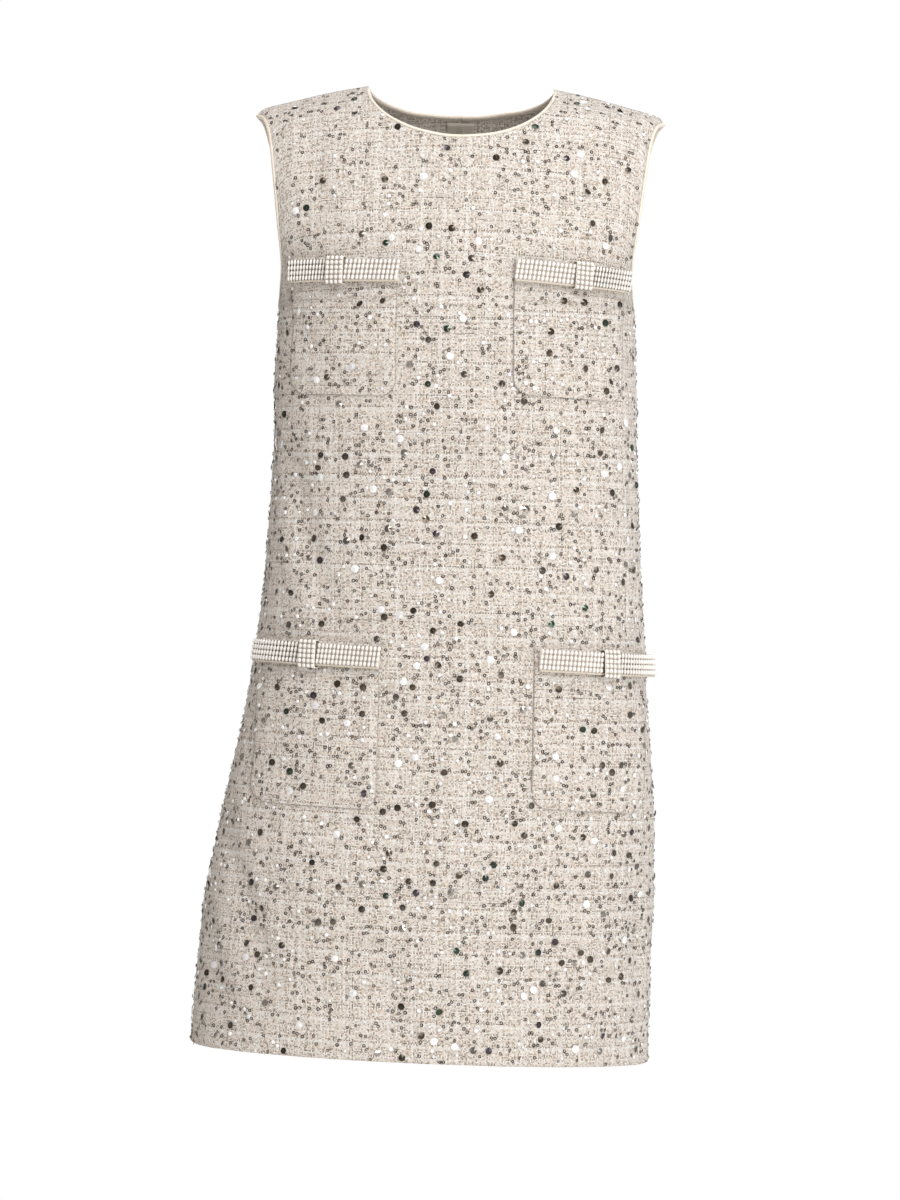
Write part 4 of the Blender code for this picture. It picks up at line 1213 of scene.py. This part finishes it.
def cells_of(cloth):
    """A corner, the two sides and the area of each small cell of a sheet's outer face."""
    a, b, c = cloth.outer[:-1, :-1], cloth.outer[1:, :-1], cloth.outer[:-1, 1:]
    across, up = (b - a).reshape(-1, 3), (c - a).reshape(-1, 3)
    return a.reshape(-1, 3), across, up, np.linalg.norm(np.cross(across, up), axis=-1)


def scatter(cloth, facing, count, rng, covered, margin):
    """Random places spread evenly by area over a sheet of cloth, clear of its edges by a margin."""
    corner, across, up, area = cells_of(cloth)
    total = np.cumsum(area)
    cell = np.searchsorted(total, rng.uniform(0, total[-1], count))
    s, t = rng.uniform(0, 1, (2, count, 1))
    points = corner[cell] + across[cell] * s + up[cell] * t
    flat = cloth.straight[:-1, :-1].reshape(-1, 2)[cell]
    way_across, way_up = unit(across[cell]), unit(up[cell])
    out = unit(np.cross(way_across, way_up)) * facing
    keep = ~covered(flat[:, 0], flat[:, 1])
    keep &= rng.uniform(0, 1, count) < np.interp(points[:, 2], YOKE_THINNER[0], YOKE_THINNER[1])
    grid = cloth.outer
    for edge in (grid[0], grid[-1], grid[:, 0], grid[:, -1]):
        keep &= np.linalg.norm(points[:, None] - edge[None], axis=-1).min(axis=1) > margin
    return points[keep], way_across[keep], unit(np.cross(out, way_across))[keep], out[keep]


def room_kept(points, wanted, reach, spacing, taken):
    """Numbers of the first points clear of all others and far enough from their own kind."""
    spacing = np.broadcast_to(spacing, len(points))
    kept = []
    for k, point in enumerate(points):
        x, y, z = (point // SEARCH_CELL).astype(int)
        near = [
            other for i in (-1, 0, 1) for j in (-1, 0, 1) for m in (-1, 0, 1)
            for other in taken.get((x + i, y + j, z + m), ())
        ]
        if all(
            math.dist(point, other) >= max(reach + wide, spacing[k] if wide == reach else 0)
            for other, wide in near
        ):
            kept.append(k)
            taken.setdefault((x, y, z), []).append((tuple(point), reach))
            if len(kept) == wanted:
                break
    return kept


def under_pocket(x, z):
    """Whether a place on the straight front lies under a pocket or a bow."""
    found = np.zeros(x.shape, bool)
    for place in POCKETS:
        height = z - place.bottom - tilted(place, x, (place.inner + place.outer_bottom) / 2)
        inner_edge, outer_edge = pocket_outline(place, np.maximum(height, 0))
        reach = x * place.side
        found |= (
            (reach > inner_edge - POCKET_CLEAR) & (reach < outer_edge + POCKET_CLEAR)
            & (height > -POCKET_CLEAR) & (height < pocket_height(place) + 2 * POCKET_CLEAR)
        )
    return found


def over_bow(place):
    """A test of whether a place on the straight front lies under this pocket's bow or above it."""
    def covered(x, z):
        line = place.bow_level + tilted(place, x, place.knot)
        return z > line - BOW_HEIGHT / 2 - BOW_CLEAR

    return covered


def by_the_zip(x, z):
    """Whether a place on the straight back is too near the zip or its pull tab."""
    return (np.abs(x) < ZIP_CLEAR / 2) | (np.abs(x) < TAB_CLEAR[0]) & (z > TAB_CLEAR[1])


surfaces = {
    "front": [(front_cloth, 1, under_pocket)] + [
        (pocket_cloths[place.place], place.side, over_bow(place)) for place in POCKETS
    ],
    "back": [(cloth, -1, by_the_zip) for cloth in back_cloths.values()],
}
shapes = {"cup": cup_sequin(), "ring": ring_sequin(), "bead": small_bead()}
dark_film = film_material("dark_film", 0.9, 0.15, 0.3)
clear_film = film_material("clear_film", 0.1, 0.16, 1.0)
rim_film = film_material("rim_film", 0.0, 0.6, 0.0, 0.15)
white_bead = film_material("white_bead", 0.0, 0.2, 0.8)
Kind = namedtuple("Kind", "name shape material tints reach spacing lift lean sizes")
KINDS = [
    Kind("dark_sequins_", "cup", dark_film, DARK_TINTS, 3.2, 9.8, 0.85, 0.17, (0.84, 1.0)),
    Kind("clear_sequins_", "cup", clear_film, CLEAR_TINTS, 3.4, 10.0, 0.75, 0.11, (0.94, 1.12)),
    Kind("white_beads_", "bead", white_bead, CLEAR_TINTS, 1.6, 4.0, 0.80, 0.14, (0.85, 1.3)),
    Kind("ring_sequins_", "ring", rim_film, RING_TINTS, 1.35, 5.2, 0.52, 0.20, (0.85, 1.03)),
]
for side, sheets in surfaces.items():
    taken = {}
    areas = [cells_of(cloth)[-1].sum() for cloth, _, _ in sheets]
    for kind, wanted, seed in zip(KINDS, COUNTS[side], SEEDS):
        rng = np.random.default_rng(seed + len(side))
        gathered = []
        for (cloth, facing, covered), area in zip(sheets, areas):
            tries = int(wanted * TRIES * area / sum(areas))
            gathered.append(scatter(cloth, facing, tries, rng, covered, kind.reach + EDGE_CLEAR))
        points, across, up, out = (np.concatenate(part) for part in zip(*gathered))
        order = rng.permutation(len(points))
        spacing = np.full(len(points), kind.spacing)
        if kind.shape == "ring":
            # some have another close beside them
            pair = order[rng.uniform(0, 1, len(order)) < RING_PAIRS]
            turn = rng.normal(0, PAIR_TURN, (len(pair), 1))
            way = across[pair] * np.cos(turn) + up[pair] * np.sin(turn)
            beside = points[pair] + way * rng.uniform(*PAIR_DISTANCE, (len(pair), 1))
            spacing = np.concatenate((spacing, np.zeros(len(pair))))
            before = np.concatenate((np.argsort(order), np.argsort(order)[pair] + 0.5))
            order = np.argsort(before)
            points = np.concatenate((points, beside))
            across, up, out = (np.concatenate((part, part[pair])) for part in (across, up, out))
        points, across, up, out = (part[order] for part in (points, across, up, out))
        kept = room_kept(points, wanted, kind.reach, spacing[order], taken)
        points, across, up, out = (part[kept] for part in (points, across, up, out))
        count = len(points)
        spin = rng.uniform(0, 2 * np.pi, (count, 1))
        lean = rng.normal(0, kind.lean, (count, 2))
        tipped = unit(out + across * lean[:, :1] + up * lean[:, 1:])
        first = unit(np.cross(tipped, across * np.sin(spin) + up * np.cos(spin)))
        second = np.cross(tipped, first)
        tints = np.array(kind.tints)[rng.integers(0, len(kind.tints), count)]
        tints = tints * rng.uniform(*TINT_SPREAD, (count, 1))
        piece = copies(
            kind.name + side, shapes[kind.shape],
            (points + out * kind.lift, first, second, tipped, rng.uniform(*kind.sizes, count)),
            kind.material, np.minimum(tints, 1),
        )
        if kind.shape == "cup":
            piece.data.shade_flat()

# ---------------------------------------------------------------- floor, light and camera
# The dress is seen from the front, level with its middle, in plain soft studio light that comes a
# little more from the front right and above, over a plain pale floor. Its values are in metres.

CAMERA_X = -0.0103
CAMERA_DISTANCE = 4.5
CAMERA_HEIGHT = -0.427
LENS = 156.98
FLOOR_HEIGHT = -1.42
FLOOR_RADIUS = 3.3

bpy.ops.object.select_all(action="DESELECT")
bpy.ops.mesh.primitive_circle_add(
    vertices=96, radius=FLOOR_RADIUS, fill_type="NGON", location=(0, 0, FLOOR_HEIGHT)
)
floor = bpy.context.object
floor.name = "studio_floor"
floor_look = Finish("pale_floor", Roughness=0.9)
grain = floor_look.noise(floor_look.add("TexCoord")["Object"], 3.0, 3.0)["Fac"]
floor.data.materials.append(floor_look.made(
    Base_Color=floor_look.steps(grain, [(0, (0.78, 0.77, 0.76)), (1, (0.84, 0.83, 0.82))])
))

world = bpy.data.worlds.new("studio")
bpy.context.scene.world = world
world.use_nodes = True
sky = Nodes(world.node_tree)
background = world.node_tree.nodes["Background"]
toward_right, toward_back, _ = sky.add("SeparateXYZ", {0: sky.add("TexCoord")["Generated"]})
aside = sky.remap(toward_right, -1.0, 1.0, 0.41, 0.69)
behind = sky.remap(toward_back, 0.75, 0.95, 0.0, 1.0, interpolation_type="SMOOTHSTEP")
room = sky.steps(toward_right, [(0.0, (1.0, 0.95, 0.90)), (0.6, (1.0, 0.985, 0.965))])
sky.feed(background.inputs["Strength"], sky.add("Mix", {0: behind, 2: aside, 3: 1.0})[0])
sky.feed(background.inputs["Color"], sky.blend(behind, room, (1, 1, 1, 1)))

Lamp = namedtuple("Lamp", "name place wide tall power")
LAMP_AIM = (0, 0, -0.4)
LAMPS = [
    Lamp("front", (0.42, -3.78, -0.7), 0.6, 1.2, 12),
    Lamp("near_side", (1.67, -3.42, -0.7), 0.6, 1.2, 13.7),
    Lamp("side", (2.73, -2.64, -0.7), 0.6, 1.2, 12),
    Lamp("far_side", (3.47, -1.55, -0.7), 0.6, 1.2, 7),
    Lamp("high", (0.8, -3.1, 1.9), 1.2, 1.2, 55),
    Lamp("top", (0.1, -0.5, 2.6), 1.8, 1.8, 28),
    Lamp("behind", (0.0, 3.9, 0.5), 2.0, 2.0, 60),
]
for lamp in LAMPS:
    light = bpy.data.lights.new(lamp.name + "_light", "AREA")
    light.shape = "RECTANGLE"
    light.size, light.size_y = lamp.wide, lamp.tall
    light.energy = lamp.power
    holder = bpy.data.objects.new(lamp.name + "_light", light)
    bpy.context.scene.collection.objects.link(holder)
    holder.location = lamp.place
    holder.visible_camera = False
    away = np.array(lamp.place) - np.array(LAMP_AIM)
    yaw = math.atan2(away[0], -away[1])
    holder.rotation_euler = (math.atan2(math.hypot(away[0], away[1]), away[2]), 0, yaw)

camera = bpy.data.objects.new("camera", bpy.data.cameras.new("camera"))
bpy.context.scene.collection.objects.link(camera)
camera.data.lens = LENS
camera.location = (CAMERA_X, -CAMERA_DISTANCE, CAMERA_HEIGHT)
camera.rotation_euler = (math.radians(90), 0, 0)
bpy.context.scene.camera = camera
bpy.context.scene.view_settings.view_transform = "Standard"
